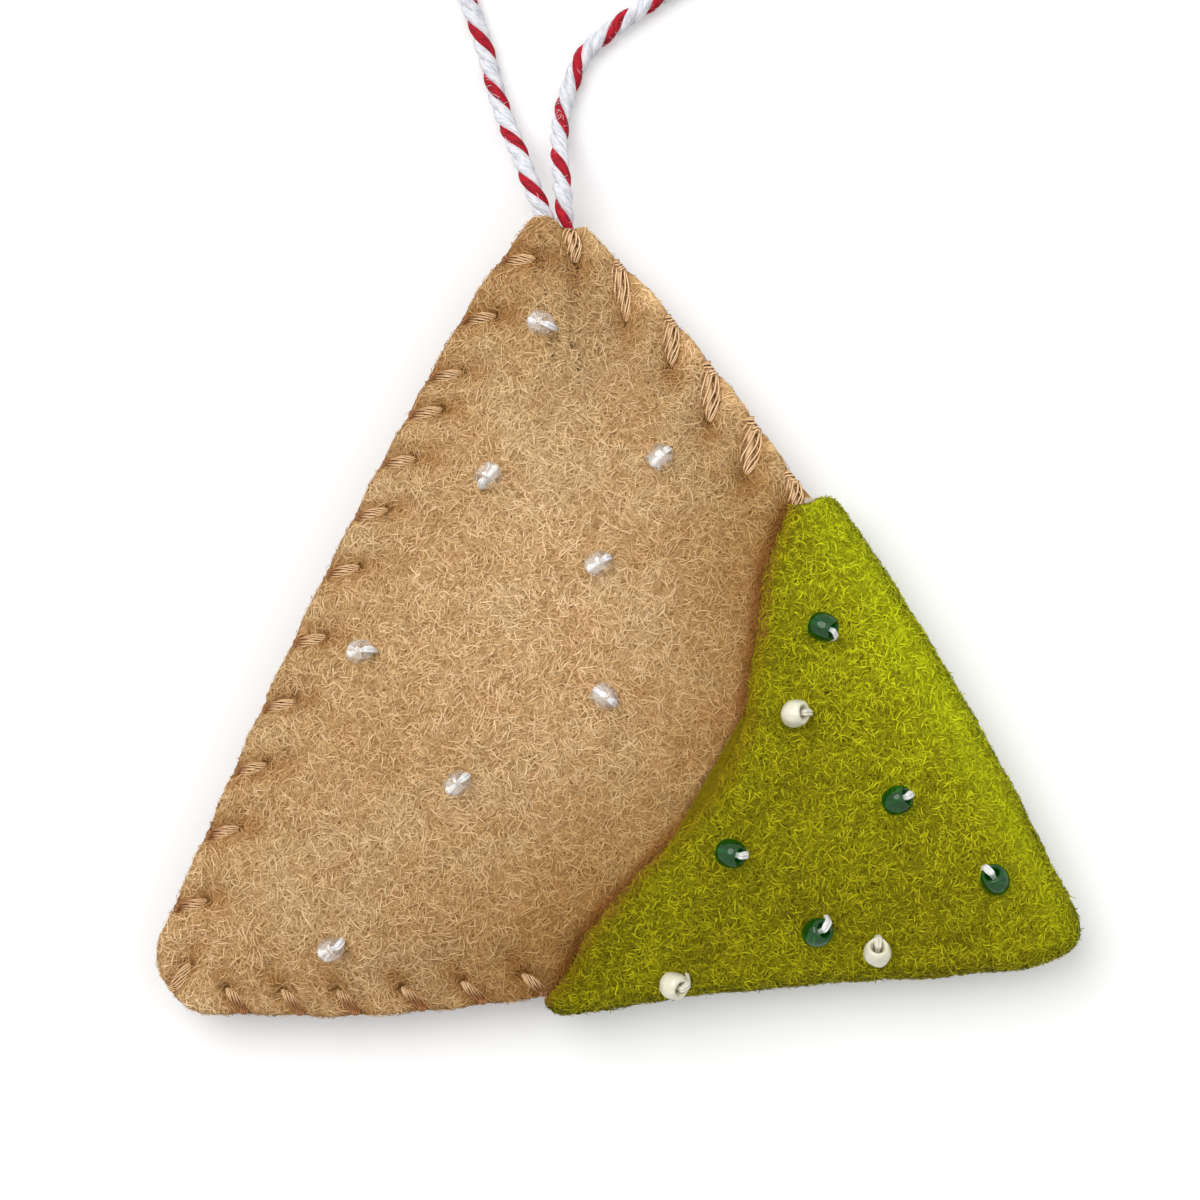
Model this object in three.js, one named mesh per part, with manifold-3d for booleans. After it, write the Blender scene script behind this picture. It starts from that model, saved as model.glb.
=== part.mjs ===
// Felt christmas ornament: a stuffed felt chip whose lower corner is dipped in green felt.
// Two felt panels lie back to back round a soft filling, whip-stitched along the rim, with
// glass beads sewn on the front and a twine loop sewn in at the hanging corner.
// Millimetres, +Z up. It lies on its back: the front faces +Z, the hanging corner points
// to +Y, and the origin is on the resting surface under the middle of the felt body.

import * as THREE from 'three';
import { mergeVertices } from 'three/addons/utils/BufferGeometryUtils.js';
import Module from 'manifold-3d';

const wasm = await Module();
wasm.setup();

// The chip's triangle between its sharp corners, before they are rounded
const chipWidth = 77.3;
const chipHeight = 67.4;
const hangingCornerAcrossShare = 0.441;
const rightCornerUpShare = 0.073;
const originAcrossShare = 0.518;
const originUpShare = 0.4748;

// How far each side bows out, and where along the side its bow leans
const leftBow = 2.2;
const bottomBow = 1.3;
const rightBow = 3.2;
const leftBowLeanShare = 0.3;
const bottomBowLeanShare = 1.5;
const rightBowLeanShare = -0.3;

// The rounding of the three corners
const hangingCornerRadius = 3.2;
const leftCornerRadius = 3.9;
const rightCornerRadius = 4.0;

// The felt and its filling
const feltThickness = 1.1;
const layerGap = 0.3;
const seamHeight = 4.0;
const frontCrown = 4.3;
const flatCut = 0.5;
const fillShapeShare = 0.6;
const fillFootShare = 0.02;
const flangeWidth = 3.0;
const ringInsetShares = [0.26, 0.43, 0.64, 0.85];
const columnsPerStitch = 3;
const fillingRoom = 1.0;
const fillingEdge = 4.6;
const fillingLeastHalf = 0.3;
const fillingHangingRadius = 13.5;
const fillingLowerRadius = 9;
const fillingColumns = 40;
const fillingInsetShares = [0.12, 0.3, 0.55];

// The whip stitch along the rim: its places as shares of the rim, anticlockwise from the
// hanging corner, those under the green felt evenly spread between their neighbours
const leftSideStitchShares = [
    0.026, 0.049, 0.074, 0.09, 0.111, 0.133, 0.157, 0.186, 0.213, 0.239, 0.265, 0.295,
];
const bottomStitchShares = [0.329, 0.36, 0.381, 0.402, 0.427, 0.45, 0.473];
const rightSideStitchShares = [0.86, 0.881, 0.907, 0.931, 0.958, 0.983];
const hiddenStitches = 15;
const holeInset = 2.15;
const holeLength = 1.4;
const holeWidth = 2.2;
const stitchLean = 1.9;
const rightStitchLean = 3.3;
const longCrossingShares = [0.25, 0.5, 0.75];
const stitchPull = 0.95;
const stitchSink = 0.6;
const flossWidth = 1.3;
const flossThickness = 0.7;
const flossBundle = 0.9;
const flossGap = 0.3;
const flossSides = 5;
const otherTurnShare = 0.75;

// The green felt folded over the lower corner. The dip line is given by shares of the
// chip's width and height, from the right side down to the bottom.
const dipLineShares = [
    [0.697, 0.598], [0.681, 0.561], [0.668, 0.524], [0.662, 0.478], [0.657, 0.432], [0.650, 0.385],
    [0.645, 0.339], [0.624, 0.286], [0.596, 0.240], [0.568, 0.205], [0.542, 0.173], [0.520, 0.144],
    [0.497, 0.115], [0.480, 0.086], [0.467, 0.057], [0.453, 0.028],
];
const dipTopRimShare = 0.846;
const dipBottomRimShare = 0.4805;
const dipGap = 0.5;
const dipTip = 2.2;
const dipTipSpread = 2.6;
const dipRamp = 5.0;
const dipRampStart = 1.0;
const dipStations = 30;
const dipAcrossShares = [1, 0.62, 0.36, 0.2, 0.1, 0];
const dipFoldSteps = 4;

// The beads: shares of the chip's width and height, then the way in degrees in which the
// bore's raised end points
const clearBeadPlaceShares = [
    [0.434, 0.828, -20], [0.379, 0.644, -125], [0.559, 0.666, 45], [0.494, 0.538, 30],
    [0.244, 0.432, 5], [0.501, 0.378, -35], [0.346, 0.272, 40], [0.213, 0.072, 35],
];
const greenBeadPlaceShares = [
    [0.731, 0.461, -35], [0.809, 0.252, 25], [0.634, 0.188, -5], [0.912, 0.156, 130], [0.725, 0.093, 50],
];
const pearlBeadPlaceShares = [[0.702, 0.357, 5], [0.788, 0.069, 88], [0.574, 0.029, 15]];
const clearBeadDiameter = 2.1;
const greenBeadDiameter = 2.35;
const pearlBeadDiameter = 2.2;
const beadLengthShare = 0.78;
const beadBore = 0.9;
const beadGap = 0.2;
const beadTilt = 25;
const beadSegments = 10;
const tieDiameter = 0.4;
const tieGap = 0.2;
const tieBite = 0.5;
const tieSides = 4;
const tieHoleMargin = 0.28;

// The twine: a loop that lies on the surface, and its knotted ends sewn into the seam
const twineDiameter = 1.5;
const twineSides = 8;
const twineStep = 3.2;
const twineRoom = 0.45;
const twineSpread = 2.8;
const knotY = 20.5;
const knotRadius = 1.35;
const knotSides = 6;
const knotFlatShare = 0.9;
const loopRoute = [
    [-7.0, 34.1, 4.0], [-7.8, 36.4, 3.5], [-8.8, 39.1, 2.3], [-9.9, 42.0, 1.2], [-11.0, 46.1, 0.8],
    [-12.3, 50.0, 0.8], [-15.2, 56.5, 0.8], [-18.3, 64.5, 0.8], [-20.6, 74.0, 0.8], [-21.2, 84.0, 0.8],
    [-19.4, 94.5, 0.8], [-14.4, 102.8, 0.8], [-6.4, 107.2, 0.8], [2.8, 106.4, 0.8], [10.8, 101.0, 0.8],
    [15.8, 92.0, 0.8], [17.6, 81.5, 0.8], [16.8, 71.0, 0.8], [13.6, 61.6, 0.8], [8.4, 54.6, 0.8],
    [1.8, 50.0, 0.8], [-2.3, 46.9, 0.8], [-3.9, 44.2, 0.8], [-4.8, 41.0, 1.2], [-5.0, 38.6, 2.3],
    [-4.85, 36.3, 3.5], [-4.65, 34.1, 4.0],
];
const leftTailRoute = [
    [-6.7, 33.05, 4.0], [-6.35, 31.0, 4.0], [-6.22, 28.0, 4.0], [-6.5, 24.5, 4.0], [-6.4, 20.5, 4.0],
];
const rightTailRoute = [
    [-4.62, 33.05, 4.0], [-4.55, 31.0, 4.0], [-4.6, 28.0, 4.0], [-4.8, 24.5, 4.0], [-4.9, 20.5, 4.0],
];

// A crumb of dried glue between the last open stitch and the end of the green felt
const glueShare = 0.852;
const glueSize = 0.9;
const glueSegments = 8;

// One overrun serves all cuts, and one small step seats every bead
const cutOverrun = 0.6;
const seatStep = 0.04;

// How finely curves are sampled
const outlineSamples = 240;
const outlineDivisions = 1200;
const rimSamples = 400;
const dipLineSamples = 90;

// Materials

function feltMaterial(colour) {
    return new THREE.MeshStandardMaterial({ color: colour, roughness: 0.95, metalness: 0 });
}

function threadMaterial(colour) {
    return new THREE.MeshStandardMaterial({ color: colour, roughness: 0.6, metalness: 0 });
}

function glassMaterial(colour, opacity) {
    return new THREE.MeshStandardMaterial({
        color: colour,
        roughness: 0.08,
        metalness: 0,
        opacity,
        transparent: opacity < 1,
    });
}

const tanFelt = feltMaterial(0xc6a46c);
const greenFelt = feltMaterial(0xa9a614);
const filling = feltMaterial(0xf1efe8);
const copperFloss = threadMaterial(0xc2925f);
const whiteThread = threadMaterial(0xf2f0ea);
const stripedTwine = threadMaterial(0xe2b9bd);
const clearGlass = glassMaterial(0xe9e4da, 0.5);
const greenGlass = glassMaterial(0x0c5f22, 0.75);
const pearlGlass = glassMaterial(0xe9dcbb, 1);
const driedGlue = glassMaterial(0xe8dfc4, 0.7);

// Geometry helpers

function smooth(value, low, high) {
    return THREE.MathUtils.smoothstep(value, low, high);
}

function spread(distance, width) {
    return Math.exp(-((distance / width) ** 2));
}

// A closed body from points and triangles
function bodyFrom(points, triangles) {
    const geometry = new THREE.BufferGeometry();
    const numbers = points.flatMap((point) => point.toArray());
    geometry.setAttribute('position', new THREE.Float32BufferAttribute(numbers, 3));
    geometry.setIndex(triangles.flat());
    geometry.computeVertexNormals();
    return geometry;
}

// A sheet with an upper and a lower surface of the same faces, and a wall at every free edge
function thickSheet(upper, lower, faces) {
    const count = upper.length;
    const edges = new Set(faces.flatMap(([a, b, c]) => [`${a},${b}`, `${b},${c}`, `${c},${a}`]));
    const triangles = [];
    for (const [a, b, c] of faces) {
        triangles.push([a, b, c], [c + count, b + count, a + count]);
    }
    for (const edge of edges) {
        const [a, b] = edge.split(',').map(Number);
        if (!edges.has(`${b},${a}`)) {
            triangles.push([a, a + count, b + count], [a, b + count, b]);
        }
    }
    return bodyFrom([...upper, ...lower], triangles);
}

// A tube through stations that each hold a centre, an outward side and two half sizes
function sweptTube(stations, sides, closed) {
    const points = [];
    const triangles = [];
    const last = stations.length - 1;
    stations.forEach((station, index) => {
        const next = stations[index < last ? index + 1 : closed ? 0 : last];
        const before = stations[index > 0 ? index - 1 : closed ? last : 0];
        const along = next.at.clone().sub(before.at).normalize();
        const across = along.clone().cross(station.out).normalize();
        const out = across.clone().cross(along);
        for (let side = 0; side < sides; side += 1) {
            const angle = (2 * Math.PI * side) / sides;
            const point = station.at.clone();
            point.addScaledVector(out, station.halfThick * Math.cos(angle));
            point.addScaledVector(across, station.halfWide * Math.sin(angle));
            points.push(point);
        }
    });
    const rings = closed ? stations.length : last;
    for (let ring = 0; ring < rings; ring += 1) {
        const here = ring * sides;
        const there = ((ring + 1) % stations.length) * sides;
        for (let side = 0; side < sides; side += 1) {
            const turn = (side + 1) % sides;
            triangles.push([here + side, here + turn, there + turn]);
            triangles.push([here + side, there + turn, there + side]);
        }
    }
    if (!closed) {
        const end = last * sides;
        for (let side = 1; side < sides - 1; side += 1) {
            triangles.push([0, side + 1, side], [end, end + side, end + side + 1]);
        }
    }
    return bodyFrom(points, triangles);
}

function toManifold(geometry) {
    const bare = geometry.clone();
    bare.deleteAttribute('normal');
    bare.deleteAttribute('uv');
    const merged = mergeVertices(bare);
    return new wasm.Manifold(new wasm.Mesh({
        numProp: 3,
        vertProperties: new Float32Array(merged.attributes.position.array),
        triVerts: new Uint32Array(merged.index.array),
    }));
}

function fromManifold(solid) {
    const { vertProperties, triVerts } = solid.getMesh();
    const geometry = new THREE.BufferGeometry();
    geometry.setAttribute('position', new THREE.BufferAttribute(new Float32Array(vertProperties), 3));
    geometry.setIndex(new THREE.BufferAttribute(new Uint32Array(triVerts), 1));
    geometry.computeVertexNormals();
    return geometry;
}

function join(geometries) {
    return fromManifold(geometries.map(toManifold).reduce((sum, solid) => sum.add(solid)));
}

function cut(geometry, cutters) {
    const solid = toManifold(geometry);
    return fromManifold(cutters.map(toManifold).reduce((rest, cutter) => rest.subtract(cutter), solid));
}

// The chip's outline

const leftCorner = new THREE.Vector2(-originAcrossShare * chipWidth, -originUpShare * chipHeight);

function placeOnChip(acrossShare, upShare) {
    return new THREE.Vector2(leftCorner.x + acrossShare * chipWidth, leftCorner.y + upShare * chipHeight);
}

const hangingCorner = placeOnChip(hangingCornerAcrossShare, 1);
const rightCorner = placeOnChip(1, rightCornerUpShare);

// A side of the triangle, with its bow
function makeSide(from, to, opposite, bow, bowLeanShare) {
    const along = to.clone().sub(from);
    const length = along.length();
    along.normalize();
    const inward = new THREE.Vector2(-along.y, along.x);
    const depth = opposite.clone().sub(from).dot(inward);
    return { from, along, length, inward, depth, bow, bowLeanShare };
}

const sides = [
    makeSide(hangingCorner, leftCorner, rightCorner, leftBow, leftBowLeanShare),
    makeSide(leftCorner, rightCorner, hangingCorner, bottomBow, bottomBowLeanShare),
    makeSide(rightCorner, hangingCorner, leftCorner, rightBow, rightBowLeanShare),
];

function straightReach(side, point) {
    return point.clone().sub(side.from).dot(side.inward);
}

// How far a side's bow moves a point outward, fading towards the opposite corner
function bowAt(side, point) {
    const share = THREE.MathUtils.clamp(point.clone().sub(side.from).dot(side.along) / side.length, 0, 1);
    const inShare = THREE.MathUtils.clamp(straightReach(side, point) / side.depth, 0, 1);
    const lean = 1 + side.bowLeanShare * (1 - 2 * share);
    return side.bow * 4 * share * (1 - share) * lean * (1 - inShare) ** 2;
}

function bowed(point) {
    const moved = point.clone();
    for (const side of sides) {
        moved.addScaledVector(side.inward, -bowAt(side, point));
    }
    return moved;
}

// A rounded triangle, bowed, as one closed curve with its start in the hanging corner's middle
function roundedOutline(radii, inset) {
    const corners = [hangingCorner, leftCorner, rightCorner];
    const path = new THREE.Path();
    corners.forEach((corner, index) => {
        const before = sides[(index + 2) % 3];
        const after = sides[index];
        const towards = after.along.clone().sub(before.along).normalize();
        const halfAngle = Math.acos(towards.dot(after.along));
        const centreReach = (radii[index] + inset) / Math.sin(halfAngle);
        const centre = corner.clone().addScaledVector(towards, centreReach);
        const start = Math.atan2(-before.inward.y, -before.inward.x);
        const end = Math.atan2(-after.inward.y, -after.inward.x);
        const middle = Math.atan2(-towards.y, -towards.x);
        if (index === 0) {
            path.absarc(centre.x, centre.y, radii[0], middle, end, false);
        } else {
            path.absarc(centre.x, centre.y, radii[index], start, end, false);
        }
    });
    const first = sides[2];
    const opening = sides[0].along.clone().sub(first.along).normalize();
    const halfOpening = Math.acos(opening.dot(sides[0].along));
    const centreReach = (radii[0] + inset) / Math.sin(halfOpening);
    const centre = hangingCorner.clone().addScaledVector(opening, centreReach);
    const startAngle = Math.atan2(-first.inward.y, -first.inward.x);
    const middleAngle = Math.atan2(-opening.y, -opening.x);
    path.absarc(centre.x, centre.y, radii[0], startAngle, middleAngle, false);
    const outline = path.getSpacedPoints(outlineSamples).slice(0, -1).map((point) => {
        const place = bowed(point);
        return new THREE.Vector3(place.x, place.y, 0);
    });
    const curve = new THREE.CatmullRomCurve3(outline, true);
    curve.arcLengthDivisions = outlineDivisions;
    return curve;
}

const rim = roundedOutline([hangingCornerRadius, leftCornerRadius, rightCornerRadius], 0);
const rimLength = rim.getLength();

const perimeter = sides.reduce((sum, side) => sum + side.length, 0);
const middle = new THREE.Vector2()
    .addScaledVector(hangingCorner, sides[1].length / perimeter)
    .addScaledVector(leftCorner, sides[2].length / perimeter)
    .addScaledVector(rightCorner, sides[0].length / perimeter);
const innerRadius = straightReach(sides[0], middle);

function wrapShare(share) {
    return ((share % 1) + 1) % 1;
}

// The point at a share of a closed outline, moved in from it: square to the outline near
// the rim, and towards the middle further in
function insetPoint(curve, share, inset) {
    const edge = curve.getPointAt(wrapShare(share));
    const along = curve.getTangentAt(wrapShare(share));
    const place = new THREE.Vector2(edge.x, edge.y);
    const square = new THREE.Vector2(-along.y, along.x);
    const central = middle.clone().sub(place).divideScalar(innerRadius);
    const blend = smooth(inset, flangeWidth, 3 * flangeWidth);
    return place.addScaledVector(square, inset * (1 - blend)).addScaledVector(central, inset * blend);
}

// The chip's height over the surface

function reachProduct(point) {
    return sides.reduce((product, side) => {
        const reach = straightReach(side, point) + bowAt(side, point) - flangeWidth;
        return product * Math.max(reach, 0);
    }, 1);
}

const centroid = hangingCorner.clone().add(leftCorner).add(rightCorner).divideScalar(3);
const fullProduct = reachProduct(centroid);

// How full the pillow is at a point: 0 at the flange and 1 in the middle
function fullness(point) {
    const product = Math.min(reachProduct(point) / fullProduct, 1);
    const foot = fillFootShare ** fillShapeShare;
    const full = (1 + fillFootShare) ** fillShapeShare;
    return ((product + fillFootShare) ** fillShapeShare - foot) / (full - foot);
}

// The distance from a point to the line on which the twine ends lie between the layers
const tailMiddleX = (leftTailRoute[2][0] + rightTailRoute[2][0]) / 2;

function tailDistance(point) {
    const nearestY = Math.max(point.y, knotY);
    return Math.hypot(point.x - tailMiddleX, point.y - nearestY);
}

function halfGapAt(point) {
    const extra = twineDiameter / 2 + twineRoom - layerGap / 2;
    return layerGap / 2 + extra * spread(tailDistance(point), twineSpread);
}

const dipLine = new THREE.SplineCurve(dipLineShares.map(([across, up]) => placeOnChip(across, up)));
const dipSamples = dipLine.getSpacedPoints(dipLineSamples);

// The distance from the dip line, positive on the dipped side
function dipReach(point) {
    let nearest = 1;
    dipSamples.forEach((sample, index) => {
        if (index > 0 && sample.distanceTo(point) < dipSamples[nearest].distanceTo(point)) {
            nearest = index;
        }
    });
    const along = dipSamples[nearest].clone().sub(dipSamples[nearest - 1]);
    const offset = point.clone().sub(dipSamples[nearest]);
    return Math.sign(along.x * offset.y - along.y * offset.x) * offset.length();
}

// The height at which the back panel lies: on the surface, or on the green felt's back flap
function floorUnder(point) {
    return (dipGap + feltThickness) * smooth(dipReach(point), -dipRampStart - dipRamp, -dipRampStart);
}

function frontInner(point) {
    return seamHeight + halfGapAt(point) + frontCrown * fullness(point);
}

function frontOuter(point) {
    return frontInner(point) + feltThickness;
}

function backInner(point) {
    const backCrown = seamHeight - layerGap / 2 - feltThickness + flatCut;
    const dome = seamHeight - halfGapAt(point) - backCrown * fullness(point);
    return Math.max(dome, floorUnder(point) + feltThickness - flatCut);
}

function backOuter(point) {
    return Math.max(backInner(point) - feltThickness, floorUnder(point));
}

// The stitches

const lastOpenShare = bottomStitchShares[bottomStitchShares.length - 1];
const firstOpenShare = rightSideStitchShares[0];
const hiddenStitchShares = Array.from({ length: hiddenStitches }, (_, index) => (
    lastOpenShare + ((firstOpenShare - lastOpenShare) * (index + 1)) / (hiddenStitches + 1)
));
const stitchShares = [
    ...leftSideStitchShares, ...bottomStitchShares, ...hiddenStitchShares, ...rightSideStitchShares,
];
const stitchCount = stitchShares.length;

function stitchShare(index) {
    const turns = Math.floor(index / stitchCount);
    return stitchShares[index - turns * stitchCount] + turns;
}

// The share of the rim at which a column of the panels' grid stands: the two sides of
// each stitch's hole, and one column midway to the next stitch
function columnShare(column) {
    const index = Math.floor(column / columnsPerStitch);
    const place = column - index * columnsPerStitch;
    const halfHole = 0.5 * (holeWidth / rimLength);
    if (place < 2) {
        return stitchShare(index) + (place === 0 ? -halfHole : halfHole);
    }
    return (stitchShare(index) + stitchShare(index + 1)) / 2;
}

// The felt panels

// Ring insets from the rim to near the middle, with the step between the columns used
const seamRings = [0, holeInset - holeLength / 2, holeInset + holeLength / 2];
const panelRings = [
    ...seamRings.map((inset) => ({ inset, every: 1 })),
    ...ringInsetShares.map((share, index) => ({ inset: share * innerRadius, every: index < 3 ? 2 : 4 })),
];

// Faces between rings of columns, seen anticlockwise from above, down to a centre point
function ringFaces(counts, leaveOut) {
    const starts = counts.map((_, index) => counts.slice(0, index).reduce((sum, count) => sum + count, 0));
    const faces = [];
    for (let ring = 0; ring < counts.length - 1; ring += 1) {
        const outer = (column) => starts[ring] + (column % counts[ring]);
        const inner = (column) => starts[ring + 1] + (column % counts[ring + 1]);
        for (let column = 0; column < counts[ring + 1]; column += 1) {
            if (counts[ring] > counts[ring + 1]) {
                faces.push([outer(2 * column), outer(2 * column + 1), inner(column)]);
                faces.push([outer(2 * column + 1), outer(2 * column + 2), inner(column + 1)]);
                faces.push([outer(2 * column + 1), inner(column + 1), inner(column)]);
            } else if (!leaveOut(ring, column)) {
                faces.push([outer(column), outer(column + 1), inner(column + 1)]);
                faces.push([outer(column), inner(column + 1), inner(column)]);
            }
        }
    }
    const innermost = counts.length - 1;
    const centre = starts[innermost] + counts[innermost];
    for (let column = 0; column < counts[innermost]; column += 1) {
        const next = (column + 1) % counts[innermost];
        faces.push([starts[innermost] + column, starts[innermost] + next, centre]);
    }
    return faces;
}

// How far a stitch leans along the rim, as a share of it, from its hole to where it crosses
function leanShare(index) {
    const rightStitches = rightSideStitchShares.length;
    const place = ((index % stitchCount) + stitchCount) % stitchCount;
    const onRight = place >= stitchCount - rightStitches && place < stitchCount - 1;
    return (onRight ? rightStitchLean : stitchLean) / rimLength;
}

function columnLean(column) {
    const index = Math.floor(column / columnsPerStitch);
    if (column - index * columnsPerStitch < 2) {
        return leanShare(index);
    }
    return (leanShare(index) + leanShare(index + 1)) / 2;
}

// The rim share of a column at an inset. On the front the stitch leans from its hole to
// the rim, and on the back it crosses over to the next hole.
function seamShare(column, inset, front) {
    if (inset === 0) {
        return columnShare(column) + columnLean(column) / 2;
    }
    if (front) {
        return columnShare(column) + columnLean(column) * (0.5 - inset / holeInset);
    }
    const next = column + columnsPerStitch;
    return columnShare(next) - columnLean(next) / 2;
}

// A felt panel with a four-sided hole for every stitch, drawn in and sunk where the floss
// lies. The back, which the floss crosses at a slant, is sunk all along its edge.
function panelGeometry(front) {
    const columns = stitchCount * columnsPerStitch;
    const upper = [];
    const lower = [];
    panelRings.forEach(({ inset, every }, ring) => {
        for (let column = 0; column < columns; column += every) {
            const inSeam = ring < seamRings.length;
            const atStitch = inSeam && column % columnsPerStitch < 2;
            const share = inSeam ? seamShare(column, inset, front) : columnShare(column);
            const pull = ring === 0 && atStitch ? stitchPull : 0;
            const sink = ring < 2 && (atStitch || !front) ? stitchSink : 0;
            const place = insetPoint(rim, share, inset + pull);
            const inner = front ? frontInner(place) : backInner(place);
            const outer = front ? frontOuter(place) - sink : backOuter(place) + sink;
            upper.push(new THREE.Vector3(place.x, place.y, front ? outer : inner));
            lower.push(new THREE.Vector3(place.x, place.y, front ? inner : outer));
        }
    });
    upper.push(new THREE.Vector3(middle.x, middle.y, front ? frontOuter(middle) : backInner(middle)));
    lower.push(new THREE.Vector3(middle.x, middle.y, front ? frontInner(middle) : backOuter(middle)));
    const counts = panelRings.map(({ every }) => columns / every);
    const faces = ringFaces(counts, (ring, column) => ring === 1 && column % columnsPerStitch === 0);
    return thickSheet(upper, lower, faces);
}

// The filling between the panels
function fillingGeometry() {
    const radii = [fillingHangingRadius, fillingLowerRadius, fillingLowerRadius];
    const outline = roundedOutline(radii, fillingEdge);
    const upper = [];
    const lower = [];
    const addPoint = (place) => {
        const top = frontInner(place);
        const bottom = backInner(place);
        const half = Math.max((top - bottom) / 2 - fillingRoom, fillingLeastHalf);
        upper.push(new THREE.Vector3(place.x, place.y, (top + bottom) / 2 + half));
        lower.push(new THREE.Vector3(place.x, place.y, (top + bottom) / 2 - half));
    };
    for (const share of [0, ...fillingInsetShares]) {
        for (let column = 0; column < fillingColumns; column += 1) {
            const edge = outline.getPointAt(column / fillingColumns);
            addPoint(new THREE.Vector2(edge.x, edge.y).lerp(middle, share));
        }
    }
    addPoint(middle.clone());
    const counts = [0, ...fillingInsetShares].map(() => fillingColumns);
    return thickSheet(upper, lower, ringFaces(counts, () => false));
}

// The whip stitch: one length of floss that goes through both panels at each hole, leans
// over the front to the rim and crosses the back to the next hole

// A station of the floss over a place: at level 1 over the front's sunk face, at -1 under
// the back's, and at 0 between the layers, with its outer side facing the way given
function flossStation(place, level, outwardX, outwardY, halfWide, halfThick) {
    const face = halfGapAt(place) + feltThickness - stitchSink + flossGap + flossThickness / 2;
    const at = new THREE.Vector3(place.x, place.y, seamHeight + level * face);
    const out = new THREE.Vector3(outwardX, outwardY, level).normalize();
    return { at, out, halfWide, halfThick };
}

// The places of the floss where its last stitch follows the rim round the hanging corner,
// behind the twine, from where it crosses the rim to the first hole
function longCrossing(index, lean, nextLean) {
    const from = stitchShare(index) + lean / 2;
    const to = stitchShare(index + 1) - nextLean / 2;
    return longCrossingShares.map((share) => {
        const inset = THREE.MathUtils.lerp(0, holeInset - holeLength / 2, share);
        return insetPoint(rim, THREE.MathUtils.lerp(from, to, share), inset);
    });
}

function stitchStations(index) {
    const lean = leanShare(index);
    const nextLean = leanShare(index + 1);
    const outermost = stitchPull - flossGap - flossThickness / 2;
    const shoulder = flossThickness / 4;
    const troughInset = holeInset - holeLength / 2;
    const hole = insetPoint(rim, stitchShare(index) - lean / 2, holeInset);
    const edge = insetPoint(rim, stitchShare(index) + lean / 2, outermost);
    const trough = insetPoint(rim, stitchShare(index + 1) - nextLean / 2, troughInset);
    const nextHole = insetPoint(rim, stitchShare(index + 1) - nextLean / 2, holeInset);
    const along = rim.getTangentAt(wrapShare(stitchShare(index) + lean / 2));
    const [outX, outY] = [along.y, -along.x];
    const wide = flossWidth / 2;
    const thick = flossThickness / 2;
    const bundle = flossBundle / 2;
    const frontShoulder = edge.clone().lerp(hole, shoulder / holeInset);
    const backShoulder = edge.clone().lerp(trough, shoulder / troughInset);
    const isLast = index === stitchCount - 1;
    const crossings = isLast ? longCrossing(index, lean, nextLean) : [trough.clone().lerp(edge, 0.5)];
    return [
        flossStation(hole, 0, -outX, -outY, bundle, bundle),
        flossStation(hole, 1, -outX, -outY, bundle, thick),
        flossStation(hole.clone().lerp(edge, 0.5), 1, 0, 0, wide, thick),
        flossStation(frontShoulder, 1, outX, outY, wide, thick),
        flossStation(edge, 0, outX, outY, wide, thick),
        flossStation(backShoulder, -1, outX, outY, wide, thick),
        ...crossings.map((place) => flossStation(place, -1, 0, 0, wide, thick)),
        flossStation(nextHole, -1, -outX, -outY, bundle, thick),
    ];
}

function flossGeometry() {
    const stations = [];
    for (let index = 0; index < stitchCount; index += 1) {
        stations.push(...stitchStations(index));
    }
    printLeastGap(stations);
    return sweptTube(stations, flossSides, true);
}

// The least gap between turns of the floss, measured between points along its middle line
function printLeastGap(stations) {
    const centres = new THREE.CurvePath();
    for (let index = 1; index < stations.length; index += 1) {
        centres.add(new THREE.LineCurve3(stations[index - 1].at, stations[index].at));
    }
    const points = centres.curves.flatMap((line) => [0, 1, 2, 3].map((step) => line.getPoint(step / 4)));
    const pointsPerTurn = points.length / stitchCount;
    const apart = Math.round(pointsPerTurn * otherTurnShare);
    let least = Infinity;
    for (let first = 0; first < points.length; first += 1) {
        const last = Math.min(points.length, first + points.length - apart);
        for (let second = first + apart; second < last; second += 1) {
            least = Math.min(least, points[first].distanceTo(points[second]));
        }
    }
    console.log(`least gap between turns of the floss: ${(least - flossWidth).toFixed(2)} mm`);
}

// The green felt folded over the lower corner, from the dip line on the front, round the
// rim, to the same line on the back

const tipShare = (() => {
    let best = 0.5;
    for (let share = 0.5; share < 0.8; share += 0.001) {
        const better = rim.getPointAt(share).distanceTo(new THREE.Vector3(rightCorner.x, rightCorner.y, 0));
        const current = rim.getPointAt(best).distanceTo(new THREE.Vector3(rightCorner.x, rightCorner.y, 0));
        best = better < current ? share : best;
    }
    return best;
})();

// One row of the fold at a station from the top end to the bottom end of the dip line
function foldRow(share, outer) {
    const offset = dipGap + (outer ? feltThickness : 0);
    const rimShare = dipTopRimShare + (dipBottomRimShare - dipTopRimShare) * share;
    const from = dipLine.getPointAt(share);
    const edge = rim.getPointAt(wrapShare(rimShare));
    const to = new THREE.Vector2(edge.x, edge.y);
    const along = rim.getTangentAt(wrapShare(rimShare));
    const outward = new THREE.Vector2(along.y, -along.x);
    const tip = dipTip * spread((rimShare - tipShare) * rimLength, dipTipSpread);
    const half = layerGap / 2 + feltThickness + offset;
    const row = [];
    for (const part of dipAcrossShares) {
        const place = to.clone().lerp(from, part);
        row.push(new THREE.Vector3(place.x, place.y, frontOuter(place) + offset));
    }
    for (let step = 1; step < dipFoldSteps; step += 1) {
        const angle = Math.PI / 2 - (Math.PI * step) / dipFoldSteps;
        const place = to.clone().addScaledVector(outward, (offset + tip) * Math.cos(angle));
        row.push(new THREE.Vector3(place.x, place.y, seamHeight + half * Math.sin(angle)));
    }
    for (const part of [...dipAcrossShares].reverse()) {
        const place = to.clone().lerp(from, part);
        row.push(new THREE.Vector3(place.x, place.y, backOuter(place) - offset));
    }
    return row;
}

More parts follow.
